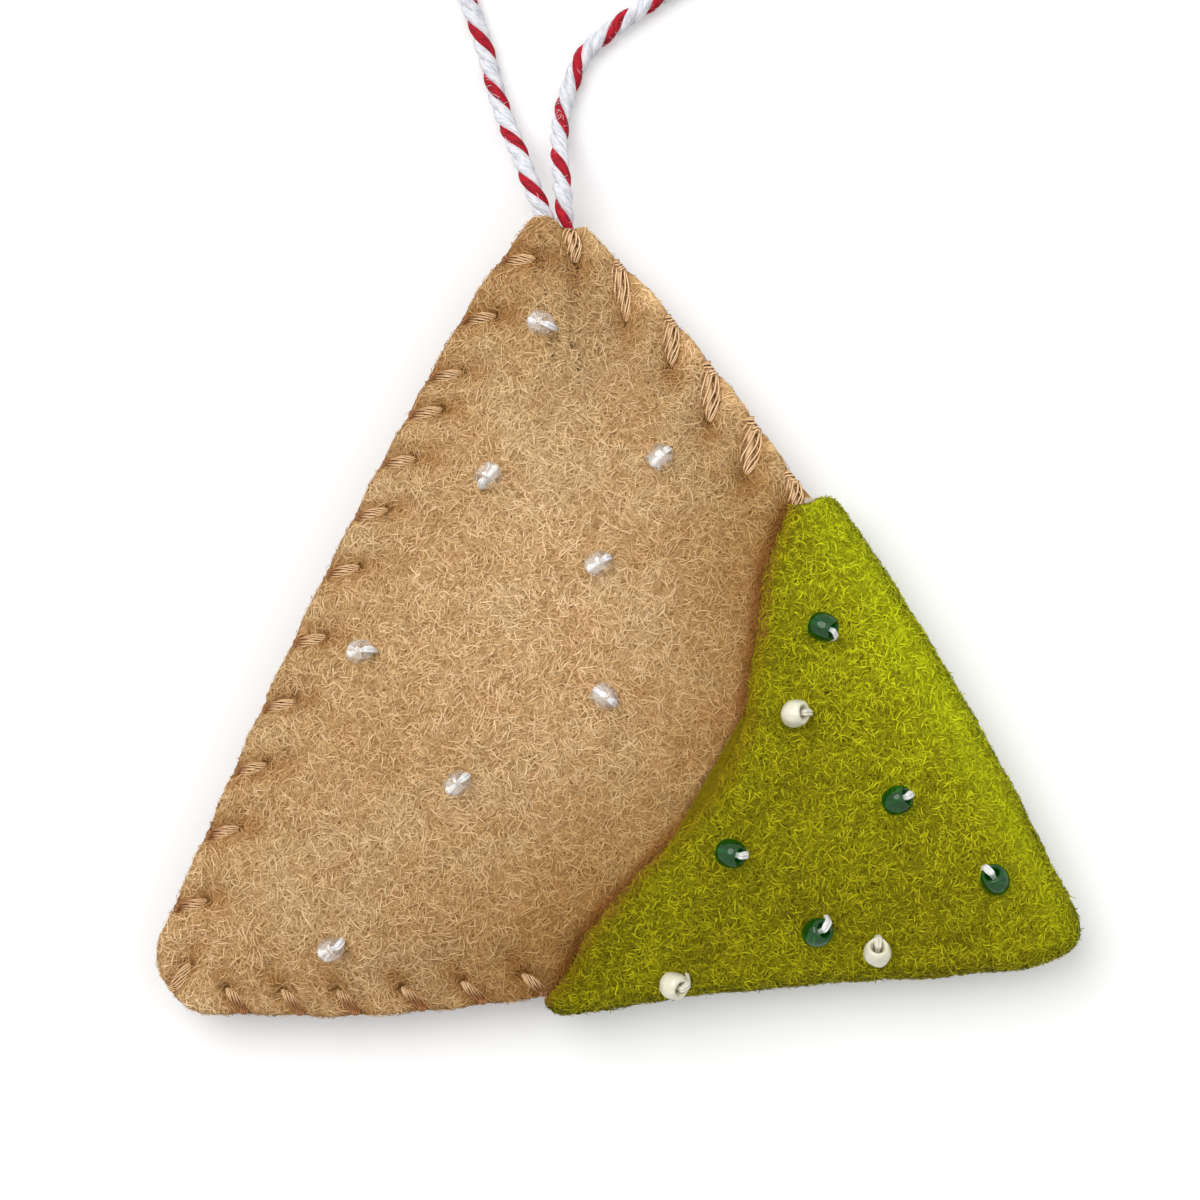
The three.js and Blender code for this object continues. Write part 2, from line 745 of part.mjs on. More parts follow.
function dipGeometry() {
    const outer = [];
    const inner = [];
    for (let station = 0; station <= dipStations; station += 1) {
        outer.push(...foldRow(station / dipStations, true));
        inner.push(...foldRow(station / dipStations, false));
    }
    const width = outer.length / (dipStations + 1);
    const faces = [];
    for (let station = 0; station < dipStations; station += 1) {
        for (let place = 0; place < width - 1; place += 1) {
            const here = station * width + place;
            const there = here + width;
            faces.push([here, there + 1, here + 1], [here, there, there + 1]);
        }
    }
    return thickSheet(outer, inner, faces);
}

// The distance from a point to the rim, positive outside it
function beyondRim(point) {
    const probe = new THREE.Vector3(point.x, point.y, 0);
    let best = 0;
    for (let sample = 0; sample < rimSamples; sample += 1) {
        const share = sample / rimSamples;
        if (rim.getPointAt(share).distanceTo(probe) < rim.getPointAt(best).distanceTo(probe)) {
            best = share;
        }
    }
    const along = rim.getTangentAt(best);
    const edge = rim.getPointAt(best);
    return (point.x - edge.x) * along.y - (point.y - edge.y) * along.x;
}

// The height of the green felt's outer face, also where it turns down over the rim
function dipOuter(point) {
    const offset = dipGap + feltThickness;
    const beyond = beyondRim(point);
    if (beyond <= 0) {
        return frontOuter(point) + offset;
    }
    const half = layerGap / 2 + feltThickness + offset;
    return seamHeight + half * Math.sqrt(Math.max(1 - (beyond / offset) ** 2, 0));
}

// The beads

// The frame of a bead: its centre over a surface, the surface's normal, the way in which the
// bore's raised end points along the surface, and the tilted bore itself
function beadFrame([across, up, turn], diameter, surface) {
    const place = placeOnChip(across, up);
    const heightAt = (x, y) => surface(new THREE.Vector2(place.x + x, place.y + y));
    const step = diameter / 2;
    const slopeX = (heightAt(step, 0) - heightAt(-step, 0)) / diameter;
    const slopeY = (heightAt(0, step) - heightAt(0, -step)) / diameter;
    const normal = new THREE.Vector3(-slopeX, -slopeY, 1).normalize();
    const angle = THREE.MathUtils.degToRad(turn);
    const lie = new THREE.Vector3(Math.cos(angle), Math.sin(angle), 0);
    lie.addScaledVector(normal, -lie.dot(normal)).normalize();
    const centre = new THREE.Vector3(place.x, place.y, surface(place));
    const ground = [-1, -0.5, 0, 0.5, 1].flatMap((x) => [-1, -0.5, 0, 0.5, 1].map((y) => (
        new THREE.Vector3(place.x + x * step, place.y + y * step, heightAt(x * step, y * step))
    )));
    while (Math.min(...ground.map((point) => point.distanceTo(centre))) < diameter / 2 + beadGap) {
        centre.addScaledVector(normal, seatStep);
    }
    const side = normal.clone().cross(lie);
    const bore = lie.clone().applyAxisAngle(side, -THREE.MathUtils.degToRad(beadTilt));
    return { centre, normal, lie, bore, side, diameter };
}

function beadGeometry(frame) {
    const outer = frame.diameter / 2;
    const inner = beadBore / 2;
    const half = (frame.diameter * beadLengthShare) / 2;
    const profile = [
        [inner, -half * 0.8], [(inner + outer) / 2, -half], [outer, -half * 0.5],
        [outer, half * 0.5], [(inner + outer) / 2, half], [inner, half * 0.8], [inner, -half * 0.8],
    ].map(([x, y]) => new THREE.Vector2(x, y));
    const geometry = new THREE.LatheGeometry(profile, beadSegments);
    const across = frame.bore.clone().cross(frame.side);
    geometry.applyMatrix4(new THREE.Matrix4().makeBasis(across, frame.bore, frame.side));
    geometry.translate(frame.centre.x, frame.centre.y, frame.centre.z);
    return geometry;
}

// The corners of a bead's thread, along the bore's lie and up the normal from the bead's
// centre: out of the raised end, down past the bead's face, and back through the felt
function tieCorners(frame, depth) {
    const tilt = THREE.MathUtils.degToRad(beadTilt);
    const reach = (frame.diameter * beadLengthShare) / 2 + tieGap + tieDiameter / 2;
    const drop = frame.diameter / 2 + beadGap + depth;
    const raised = new THREE.Vector2(Math.cos(tilt), Math.sin(tilt)).multiplyScalar(reach);
    const downFace = new THREE.Vector2(Math.sin(tilt), -Math.cos(tilt));
    const knee = raised.clone().addScaledVector(downFace, frame.diameter / 2);
    const low = raised.clone().negate();
    return { raised, knee, low, drop };
}

// The thread of one bead: a closed loop through its bore and the felt below
function tieGeometry(frame, depth) {
    const { raised, knee, low, drop } = tieCorners(frame, depth);
    const half = tieDiameter / 2;
    const corners = [raised, knee, new THREE.Vector2(knee.x, -drop), new THREE.Vector2(low.x, -drop), low];
    const inside = knee.clone().add(low).divideScalar(2);
    const stations = corners.flatMap((corner, index) => {
        const before = corners[(index + corners.length - 1) % corners.length];
        const after = corners[(index + 1) % corners.length];
        return [before, after].map((other) => {
            const towards = other.clone().sub(corner).setLength(half);
            return corner.clone().add(towards);
        });
    }).map((place) => {
        const inFrame = (way) => (
            frame.lie.clone().multiplyScalar(way.x).addScaledVector(frame.normal, way.y)
        );
        return {
            at: frame.centre.clone().add(inFrame(place)),
            out: inFrame(place.clone().sub(inside)),
            halfWide: half,
            halfThick: half,
        };
    });
    return sweptTube(stations, tieSides, true);
}

// A box in a bead's frame, from its low corner to its high corner along lie, side and normal
function boxInFrame(frame, low, high) {
    const size = high.map((value, axis) => value - low[axis]);
    const geometry = new THREE.BoxGeometry(size[0], size[1], size[2]);
    geometry.translate((low[0] + high[0]) / 2, (low[1] + high[1]) / 2, (low[2] + high[2]) / 2);
    geometry.applyMatrix4(new THREE.Matrix4().makeBasis(frame.lie, frame.side, frame.normal));
    geometry.translate(frame.centre.x, frame.centre.y, frame.centre.z);
    return geometry;
}

// Two holes through the panel, where a tie's legs pass
function tieHoles(frame, depth) {
    const { knee, low, drop } = tieCorners(frame, depth);
    const half = tieDiameter / 2 + tieHoleMargin;
    return [low.x, knee.x].map((along) => boxInFrame(
        frame,
        [along - half, -half, -drop - cutOverrun],
        [along + half, half, -beadGap],
    ));
}

// The bite that a tie takes out of the green felt
function tieSlot(frame, depth) {
    const { knee, low, drop } = tieCorners(frame, depth);
    const half = tieDiameter / 2 + tieHoleMargin;
    return boxInFrame(frame, [low.x - half, -half, -drop - half], [knee.x + half, half, -beadGap]);
}

const clearBeads = clearBeadPlaceShares.map((place) => beadFrame(place, clearBeadDiameter, frontOuter));
const greenBeads = greenBeadPlaceShares.map((place) => beadFrame(place, greenBeadDiameter, dipOuter));
const pearlBeads = pearlBeadPlaceShares.map((place) => beadFrame(place, pearlBeadDiameter, dipOuter));
const throughDepth = feltThickness + tieDiameter / 2 + tieHoleMargin;

// The twine

function routeCurve(route) {
    const points = route.map(([x, y, z]) => new THREE.Vector3(x, y, z));
    return new THREE.CatmullRomCurve3(points, false, 'centripetal');
}

function twineTube(route) {
    const curve = routeCurve(route);
    const section = new THREE.Shape().absarc(0, 0, twineDiameter / 2, 0, 2 * Math.PI, false);
    return new THREE.ExtrudeGeometry(section, {
        extrudePath: curve,
        steps: Math.ceil(curve.getLength() / twineStep),
        curveSegments: twineSides / 2,
        bevelEnabled: false,
    });
}

function ball(centre, diameter) {
    const geometry = new THREE.SphereGeometry(diameter / 2, twineSides, twineSides / 2);
    geometry.translate(centre[0], centre[1], centre[2]);
    return geometry;
}

// The free loop, with round ends on the line about which it swings
function loopGeometry() {
    const ends = [loopRoute[0], loopRoute[loopRoute.length - 1]];
    return join([twineTube(loopRoute), ...ends.map((end) => ball(end, twineDiameter))]);
}

// The two sewn-in ends of the twine and the knot that ties them
function tailsGeometry() {
    const knot = new THREE.TorusKnotGeometry(knotRadius, twineDiameter / 2, 5 * knotSides, knotSides, 2, 3);
    knot.scale(1, 1, knotFlatShare);
    knot.translate(tailMiddleX, knotY, seamHeight);
    return join([twineTube(leftTailRoute), twineTube(rightTailRoute), knot]);
}

// The dried glue
function glueGeometry() {
    const geometry = new THREE.SphereGeometry(glueSize / 2, glueSegments, glueSegments / 2);
    const place = insetPoint(rim, glueShare, -glueSize / 2 - layerGap);
    geometry.translate(place.x, place.y, seamHeight + feltThickness / 2);
    return geometry;
}

// The ornament

function addPiece(group, name, geometry, material) {
    const mesh = new THREE.Mesh(geometry, material);
    mesh.name = name;
    group.add(mesh);
}

function addBeads(group, name, frames, material, depth) {
    frames.forEach((frame, index) => {
        addPiece(group, `${name}_bead_${index + 1}`, beadGeometry(frame), material);
        addPiece(group, `${name}_bead_tie_${index + 1}`, tieGeometry(frame, depth), whiteThread);
    });
}

function buildOrnament() {
    const ornament = new THREE.Group();
    const frontHoles = clearBeads.flatMap((frame) => tieHoles(frame, throughDepth));
    const dipSlots = [...greenBeads, ...pearlBeads].map((frame) => tieSlot(frame, tieBite));
    addPiece(ornament, 'front_felt_panel', cut(panelGeometry(true), frontHoles), tanFelt);
    addPiece(ornament, 'back_felt_panel', panelGeometry(false), tanFelt);
    addPiece(ornament, 'filling', fillingGeometry(), filling);
    addPiece(ornament, 'edge_floss', flossGeometry(), copperFloss);
    addPiece(ornament, 'dip_felt', cut(dipGeometry(), dipSlots), greenFelt);
    addPiece(ornament, 'glue_crumb', glueGeometry(), driedGlue);
    addBeads(ornament, 'clear', clearBeads, clearGlass, throughDepth);
    addBeads(ornament, 'green', greenBeads, greenGlass, tieBite);
    addBeads(ornament, 'pearl', pearlBeads, pearlGlass, tieBite);
    addPiece(ornament, 'twine_ends', tailsGeometry(), stripedTwine);
    addPiece(ornament, 'hanging_loop', loopGeometry(), stripedTwine);
    return ornament;
}

export default buildOrnament();
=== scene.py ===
"""Looks of a stuffed felt ornament with a dipped corner, sewn beads and a twine loop.

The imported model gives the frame: metres, +Z up, the front facing +Z and the hanging corner
towards +Y. Each sub-assembly is a class that holds its sizes and builds its own meshes.
"""

import logging
import math
from collections.abc import Callable, Sequence
from dataclasses import dataclass, field
from enum import Enum
from functools import cache

import bmesh
import bpy
import numpy as np
from mathutils import Matrix, Vector, noise
from mathutils.bvhtree import BVHTree


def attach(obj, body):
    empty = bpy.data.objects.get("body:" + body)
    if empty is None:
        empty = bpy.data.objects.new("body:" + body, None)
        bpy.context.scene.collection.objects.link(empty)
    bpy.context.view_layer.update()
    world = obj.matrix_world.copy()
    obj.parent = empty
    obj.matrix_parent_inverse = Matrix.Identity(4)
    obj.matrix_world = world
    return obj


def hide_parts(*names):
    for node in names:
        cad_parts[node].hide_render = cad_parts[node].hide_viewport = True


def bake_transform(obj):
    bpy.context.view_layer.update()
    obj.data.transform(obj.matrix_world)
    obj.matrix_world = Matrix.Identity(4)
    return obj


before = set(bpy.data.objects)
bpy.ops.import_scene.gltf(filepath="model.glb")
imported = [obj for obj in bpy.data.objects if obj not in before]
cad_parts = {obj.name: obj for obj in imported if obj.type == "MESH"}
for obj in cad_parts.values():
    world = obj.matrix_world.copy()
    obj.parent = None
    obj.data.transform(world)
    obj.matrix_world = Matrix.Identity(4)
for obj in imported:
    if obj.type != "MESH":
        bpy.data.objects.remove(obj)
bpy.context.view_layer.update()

MM = 0.001
TURN = 2 * math.pi
ORNAMENT = "ornament"
MERGE_DISTANCE = 0.0005 * MM
LEAST_LENGTH = 1e-12

Array = np.ndarray
Shape = bmesh.types.BMesh
Piece = bpy.types.Object
Material = bpy.types.Material
Socket = bpy.types.NodeSocket
Place = Callable[[Array, Array], Array]
Keep = Callable[[Array, Array], Array]
Colour = tuple[float, float, float]
Span = tuple[float, float]

BLACK: Colour = (0.0, 0.0, 0.0)
WHITE: Colour = (1.0, 1.0, 1.0)

logging.basicConfig(level=logging.INFO, format="%(message)s")
LOG = logging.getLogger("ornament")


class Side(Enum):
    """The two felt panels, by the way they face."""

    FRONT = 1
    BACK = -1


# Curves


def smooth_step(value: Array, low: float, high: float) -> Array:
    """The smooth rise from 0 at low to 1 at high."""
    share = np.clip((value - low) / (high - low), 0, 1)
    return share * share * (3 - 2 * share)


def bell(distance: Array, width: float) -> Array:
    """A bell that is 1 at no distance and fades over width."""
    return np.exp(-((distance / width) ** 2))


def unit(vectors: Array) -> Array:
    """The vectors, each at length 1."""
    return vectors / np.maximum(np.linalg.norm(vectors, axis=-1, keepdims=True), LEAST_LENGTH)


def smooth_route(points: Sequence[Sequence[float]], steps: int) -> Array:
    """A smooth curve through points.

    Args:
        points: The points, in order.
        steps: How many pieces each stretch between two points gets.

    Returns:
        The curve's points, one row each.
    """
    given = np.array(points, float)
    padded = np.vstack([2 * given[0] - given[1], given, 2 * given[-1] - given[-2]])
    share = (np.arange(steps) / steps)[:, None]
    stretches = []
    for before, start, end, after in zip(padded, padded[1:], padded[2:], padded[3:]):
        bend = 2 * before - 5 * start + 4 * end - after
        twist = 3 * start - before - 3 * end + after
        stretches.append(start + 0.5 * share * ((end - before) + share * (bend + share * twist)))
    return np.vstack([*stretches, given[-1:]])


def even_route(points: Array, count: int) -> Array:
    """The same curve with its points spread evenly along its length.

    Args:
        points: The curve's points.
        count: How many pieces the new curve has.

    Returns:
        The new points, one more than count.
    """
    lengths = np.linalg.norm(np.diff(points, axis=0), axis=1)
    along = np.concatenate([[0], np.cumsum(lengths)])
    wanted = np.linspace(0, along[-1], count + 1)
    return np.column_stack([np.interp(wanted, along, values) for values in points.T])


def route_length(points: Array) -> float:
    """The length of a curve."""
    return float(np.linalg.norm(np.diff(points, axis=0), axis=1).sum())


def carried_frames(route: Array) -> tuple[Array, Array]:
    """Two directions square to a curve at each point, carried along it without twist.

    Args:
        route: The curve's points.

    Returns:
        The first and the second direction, square to each other.
    """
    along = unit(np.gradient(route, axis=0))
    first = np.empty_like(route)
    start = np.array([0.0, 0.0, 1.0])
    for index, way in enumerate(along):
        start = start - start.dot(way) * way
        start /= np.linalg.norm(start)
        first[index] = start
    return first, np.cross(along, first)


# Meshes


def moved_grid(columns: int, rows: int, place: Place) -> Shape:
    """A grid of faces whose points are moved to where place puts them.

    Args:
        columns: How many faces the grid has across.
        rows: How many faces the grid has along.
        place: Gives the points for two arrays of shares, across and along.

    Returns:
        The moved grid.
    """
    grid = bmesh.new()
    grid.loops.layers.uv.new("UVMap")
    bmesh.ops.create_grid(grid, x_segments=columns, y_segments=rows, size=0.5, calc_uvs=True)
    flat = np.array([vertex.co for vertex in grid.verts])[:, :2]
    shares = (flat - flat.min(0)) / (flat.max(0) - flat.min(0))
    points = place(shares[:, 0], shares[:, 1])
    for vertex, point in zip(grid.verts, points.tolist()):
        vertex.co = point
    return grid


def face_outward(shape: Shape) -> None:
    """Turns all the faces of a closed mesh outward.

    Args:
        shape: The mesh.
    """
    bmesh.ops.recalc_face_normals(shape, faces=shape.faces)
    if shape.calc_volume(signed=True) < 0:
        bmesh.ops.reverse_faces(shape, faces=shape.faces)


def shaped_grid(columns: int, rows: int, place: Place) -> Shape:
    """A closed body from a moved grid: its touching edges joined, its ends closed.

    Args:
        columns: How many faces the grid has across.
        rows: How many faces the grid has along.
        place: Gives the points for two arrays of shares, across and along.

    Returns:
        The closed body.
    """
    grid = moved_grid(columns, rows, place)
    bmesh.ops.remove_doubles(grid, verts=grid.verts, dist=MERGE_DISTANCE)
    open_edges = [edge for edge in grid.edges if edge.is_boundary]
    if open_edges:
        bmesh.ops.holes_fill(grid, edges=open_edges)
    face_outward(grid)
    return grid


def tube(route: Array, first: Array, second: Array, sides: int) -> Shape:
    """A closed round tube along a curve.

    Args:
        route: The curve's points.
        first: From each point to the tube's wall, in one direction.
        second: From each point to the tube's wall, square to the first.
        sides: How many faces the tube has around.

    Returns:
        The tube.
    """
    last = len(route) - 1
    first, second = np.broadcast_to(first, route.shape), np.broadcast_to(second, route.shape)

    def place(around: Array, along: Array) -> Array:
        index = np.rint(along * last).astype(int)
        angle = (TURN * around)[:, None]
        return route[index] + np.cos(angle) * first[index] + np.sin(angle) * second[index]

    return shaped_grid(sides, last, place)


def joined(parts: Sequence[Shape]) -> Shape:
    """One mesh that holds all the given ones.

    Args:
        parts: The meshes, of which all but the first are freed.

    Returns:
        The first mesh, which now holds the others too.
    """
    whole = parts[0]
    for part in parts[1:]:
        mesh = bpy.data.meshes.new("joined")
        part.to_mesh(mesh)
        whole.from_mesh(mesh)
        part.free()
        bpy.data.meshes.remove(mesh)
    return whole


def tagged(shape: Shape, name: str, value: float) -> Shape:
    """Gives all the points of a mesh one value that its material can read.

    Args:
        shape: The mesh.
        name: The value's name.
        value: The value.

    Returns:
        The same mesh.
    """
    layer = shape.verts.layers.float.new(name)
    for vertex in shape.verts:
        vertex[layer] = value
    return shape


def search_tree(mesh: bpy.types.Mesh) -> BVHTree:
    """A tree that finds the places of a mesh that lie near a point or along a ray.

    Args:
        mesh: The mesh.

    Returns:
        The tree.
    """
    shape = bmesh.new()
    shape.from_mesh(mesh)
    tree = BVHTree.FromBMesh(shape)
    shape.free()
    return tree


def mark(piece: Piece, name: str, values: Array) -> None:
    """Gives each point of a piece a value that its material can read."""
    attribute = piece.data.attributes.new(name, "FLOAT", "POINT")
    attribute.data.foreach_set("value", np.asarray(values, np.float32))


def points_of(piece: Piece) -> Array:
    """The points of a piece's mesh.

    Args:
        piece: The piece.

    Returns:
        The points, one row each.
    """
    flat = np.empty(3 * len(piece.data.vertices))
    piece.data.vertices.foreach_get("co", flat)
    return flat.reshape(-1, 3)


def make_piece(
    name: str,
    shape: Shape,
    material: Material,
    replaces: Sequence[str] = (),
    body: str | None = ORNAMENT,
) -> Piece:
    """Turns a mesh into a piece of the ornament.

    Args:
        name: The piece's name.
        shape: Its mesh, in the row frame, which is freed.
        material: Its finish.
        replaces: The CAD nodes that it stands for.
        body: The CAD body that it rides on, or None to leave it unattached.

    Returns:
        The piece's object.
    """
    mesh = bpy.data.meshes.new(name)
    shape.to_mesh(mesh)
    shape.free()
    mesh.polygons.foreach_set("use_smooth", [True] * len(mesh.polygons))
    mesh.materials.append(material)
    piece = bpy.data.objects.new(name, mesh)
    bpy.context.scene.collection.objects.link(piece)
    if replaces:
        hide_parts(*replaces)
    if body is not None:
        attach(piece, body)
    LOG.info("%s: %d faces", name, len(mesh.polygons))
    return piece


# Shader helpers


class Nodes:
    """A short way to add and link the nodes of one material or node group."""

    def __init__(self, tree: bpy.types.NodeTree) -> None:
        """Starts on an emptied tree."""
        self.tree = tree
        tree.nodes.clear()

    def add(self, kind: str, inputs: dict | None = None, **settings: object) -> bpy.types.Node:
        """Adds a node.

        Args:
            kind: The node's type, without the ShaderNode prefix.
            inputs: Values or sockets for its inputs, by name or number.
            settings: The node's own settings.

        Returns:
            The node.
        """
        prefix = "" if kind.startswith("NodeGroup") else "ShaderNode"
        node = self.tree.nodes.new(prefix + kind)
        for name, value in settings.items():
            setattr(node, name, value)
        for name, value in (inputs or {}).items():
            socket = node.inputs[name]
            if isinstance(value, Socket):
                self.tree.links.new(value, socket)
            elif isinstance(value, tuple) and len(value) == 3 and socket.type == "RGBA":
                socket.default_value = (*value, 1)
            else:
                socket.default_value = value
        return node

    def noise(self, size: float, detail: float, rough: float, bend: float) -> Socket:
        """Adds noise on the object's coordinates.

        Args:
            size: About how big the noise's lumps are.
            detail: How many finer layers it has.
            rough: How strong the finer layers are.
            bend: How far it is distorted.

        Returns:
            The noise's value.
        """
        where = self.add("TexCoord").outputs["Object"]
        inputs = {"Vector": where, "Scale": 1 / size, "Detail": detail, "Roughness": rough}
        return self.add("TexNoise", {**inputs, "Distortion": bend}).outputs["Fac"]

    def mark(self, name: str) -> Socket:
        """Adds a value that is marked on the piece's points."""
        return self.add("Attribute", attribute_name=name).outputs["Fac"]

    def step(self, value: Socket, span: Span) -> Socket:
        """Adds a smooth rise from 0 at the span's first value to 1 at its second."""
        inputs = {"Value": value, "From Min": span[0], "From Max": span[1]}
        return self.add("MapRange", inputs, interpolation_type="SMOOTHSTEP").outputs["Result"]

    def mix(self, share: object, first: object, second: object) -> Socket:
        """Adds a mix of two colours."""
        inputs = {0: share, 6: first, 7: second}
        return self.add("Mix", inputs, data_type="RGBA").outputs[2]

    def maths(self, operation: str, *values: object) -> Socket:
        """Adds a sum, product or the like."""
        return self.add("Math", dict(enumerate(values)), operation=operation).outputs[0]

    def bump(self, height: Socket, strength: float, depth: float) -> Socket:
        """Adds the normal of a surface with the given height on it."""
        inputs = {"Strength": strength, "Distance": depth, "Height": height}
        return self.add("Bump", inputs).outputs[0]


def new_material(name: str) -> tuple[Material, Nodes]:
    """Starts a material.

    Args:
        name: The material's name.

    Returns:
        The empty material and its nodes.
    """
    material = bpy.data.materials.new(name)
    material.use_nodes = True
    return material, Nodes(material.node_tree)


def finish_material(nodes: Nodes, colour: object, roughness: float, shine: float, **more: object) -> None:
    """Ends a material with one Principled shader.

    Args:
        nodes: The material's nodes.
        colour: Its base colour.
        roughness: Its roughness.
        shine: The level of its mirror-like share.
        more: The shader's other inputs, with low lines for the spaces in their names.
    """
    inputs = {name.replace("_", " "): value for name, value in more.items()}
    inputs.update({"Base Color": colour, "Roughness": roughness, "Specular IOR Level": shine})
    shader = nodes.add("BsdfPrincipled", inputs)
    nodes.add("OutputMaterial", {"Surface": shader.outputs[0]})


@dataclass(frozen=True)
class FeltTone:
    """The shared node group that gives felt its cloudy colour and its matted height, with painted shade in
    the matting's hollows and a painted highlight on its raised tips.
    """

    cloud_size: float = 14 * MM
    cloud_span: Span = (0.36, 0.66)
    patch_size: float = 5 * MM
    patch_span: Span = (0.42, 0.72)
    patch_share: float = 0.6
    matting_size: float = 0.55 * MM
    hollow_shade_span: Span = (0.56, 0.36)
    tip_highlight_span: Span = (0.52, 0.72)
    tip_highlight_share: float = 0.5

    @cache
    def group(self) -> bpy.types.NodeTree:
        """Builds the group, once for all the felts.

        Returns:
            The group, with four colours and the strength of the matting as its inputs.
        """
        group = bpy.data.node_groups.new("felt_tone", "ShaderNodeTree")
        nodes = Nodes(group)
        for name in ("Middle", "Warm", "Deep", "Pale"):
            group.interface.new_socket(name, in_out="INPUT", socket_type="NodeSocketColor")
        group.interface.new_socket("Matting", in_out="INPUT", socket_type="NodeSocketFloat")
        group.interface.new_socket("Color", in_out="OUTPUT", socket_type="NodeSocketColor")
        group.interface.new_socket("Height", in_out="OUTPUT", socket_type="NodeSocketFloat")
        given = nodes.add("NodeGroupInput").outputs
        clouds = nodes.step(nodes.noise(self.cloud_size, 3, 0.55, 0.6), self.cloud_span)
        patches = nodes.step(nodes.noise(self.patch_size, 3, 0.6, 0.8), self.patch_span)
        matting = nodes.noise(self.matting_size, 4, 0.7, 1.4)
        # The matting's low places get painted shade and its high places a painted highlight; the same
        # matting is the bump's height.
        hollow_shade = nodes.maths("MULTIPLY", nodes.step(matting, self.hollow_shade_span), given["Matting"])
        tip_highlight = nodes.maths("MULTIPLY", nodes.step(matting, self.tip_highlight_span), given["Matting"])
        colour = nodes.mix(clouds, given["Middle"], given["Pale"])
        colour = nodes.mix(nodes.maths("MULTIPLY", patches, self.patch_share), colour, given["Warm"])
        colour = nodes.mix(hollow_shade, colour, given["Deep"])
        colour = nodes.mix(nodes.maths("MULTIPLY", tip_highlight, self.tip_highlight_share), colour, given["Pale"])
        nodes.add("NodeGroupOutput", {"Color": colour, "Height": matting})
        return group


# Finishes


@dataclass(frozen=True)
class FeltFinish:
    """Felt of one colour: a matted base, and the loose fibres that lie on it."""

    name: str
    slot: str
    middle: Colour
    warm: Colour
    deep: Colour
    pale: Colour
    # The next three colours: a painted highlight along the right rim; painted shade near the floss and
    # along the dip line on the tan felt, and a yellow tint along the dip line on the green felt; the paler
    # colour of the lightest fibres.
    band: Colour = BLACK
    pinch: Colour = BLACK
    glint: Colour = BLACK
    tone: FeltTone = FeltTone()
    rim_highlight_share: float = 0.7
    painted_shade_and_tint_share: float = 0.8
    # The levels by which the painted light and shade brighten and darken the face.
    lit_levels: Colour = (0.25, 0.33, 0.48)
    base_share: float = 0.55
    hole_shade_level: float = 0.3
    base_roughness: float = 0.95
    base_shine: float = 0.1
    bump_strength: float = 0.9
    bump_depth: float = 0.25 * MM
    fibre_low: float = 0.2
    fibre_high: float = 1.25
    fibre_roughness: float = 0.8
    fibre_shine: float = 0.12
    glint_span: Span = (0.45, 1.0)
    glint_share: float = 0.6

    def toned(self, nodes: Nodes, matting: float) -> bpy.types.Node:
        """Adds the shared tone group.

        Args:
            nodes: The material's nodes.
            matting: How strongly the matting's painted shade and painted highlight show.

        Returns:
            The group's node, with this felt's colours.
        """
        colours = {"Middle": self.middle, "Warm": self.warm, "Deep": self.deep, "Pale": self.pale}
        return nodes.add("Group", {**colours, "Matting": matting}, node_tree=self.tone.group())

    def marked(self, nodes: Nodes, colour: Socket | Colour) -> Socket | Colour:
        """Paints the rim highlight, the shade and tint along the floss and the dip line, and the light and
        shade over the face into a colour, as the piece's own marks ask.

        Args:
            nodes: The material's nodes.
            colour: The colour.

        Returns:
            The painted colour, or the same one where this felt has none of these marks.
        """
        if self.pinch == BLACK:
            return colour
        # Painted highlight along the right rim, painted shade near the floss and along the dip line (a
        # tint on the green felt), and painted light and shade by the lit mark.
        pinch, band, lit = (nodes.mark(name) for name in ("pinch", "band", "lit"))
        colour = nodes.mix(nodes.maths("MULTIPLY", band, self.rim_highlight_share), colour, self.band)
        colour = nodes.mix(nodes.maths("MULTIPLY", pinch, self.painted_shade_and_tint_share), colour, self.pinch)
        level = nodes.add("VectorMath", {0: lit, 1: self.lit_levels, 2: WHITE}, operation="MULTIPLY_ADD")
        return nodes.add("VectorMath", {0: colour, 1: level.outputs[0]}, operation="MULTIPLY").outputs[0]

    def base(self) -> Material:
        """Makes the finish of the matted base below the fibres.

        Returns:
            The material.
        """
        material, nodes = new_material(self.name)
        tone = self.toned(nodes, 1.0)
        normal = nodes.bump(tone.outputs["Height"], self.bump_strength, self.bump_depth)
        marked = self.marked(nodes, tone.outputs["Color"])
        # The base leans towards the deep colour as painted shade in the gaps between the fibres, except
        # under the painted rim highlight; the holes get a darker painted shade.
        band, hole = nodes.mark("band"), nodes.mark("hole")
        share = nodes.maths("MULTIPLY_ADD", band, 1 - self.base_share, self.base_share)
        shadow = tuple(self.hole_shade_level * part for part in self.deep)
        colour = nodes.mix(hole, nodes.mix(share, self.deep, marked), shadow)
        finish_material(nodes, colour, self.base_roughness, self.base_shine, Normal=normal)
        return material

    def nap(self) -> Material:
        """Makes the finish of the loose fibres, each a little darker or lighter than the next.

        Returns:
            The material.
        """
        material, nodes = new_material(f"{self.name}_nap")
        tone = self.toned(nodes, 0.0)
        shade = nodes.mark("shade")
        inputs = {"Value": shade, "To Min": self.fibre_low, "To Max": self.fibre_high}
        level = nodes.add("MapRange", inputs).outputs["Result"]
        marked = self.marked(nodes, tone.outputs["Color"])
        colour = nodes.mix(level, self.deep, marked)
        light = nodes.maths("MULTIPLY", nodes.step(shade, self.glint_span), self.glint_share)
        colour = nodes.mix(light, colour, self.marked(nodes, self.glint))
        finish_material(nodes, colour, self.fibre_roughness, self.fibre_shine)
        return material


@dataclass(frozen=True)
class FuzzFinish:
    """Fine fuzz of one colour, each hair a little darker or lighter than the next."""

    name: str
    dark: Colour
    light: Colour
    roughness: float
    shine: float

    def material(self) -> Material:
        """Makes the fuzz's finish.

        Returns:
            The material.
        """
        material, nodes = new_material(self.name)
        colour = nodes.mix(nodes.mark("shade"), self.dark, self.light)
        finish_material(nodes, colour, self.roughness, self.shine)
        return material


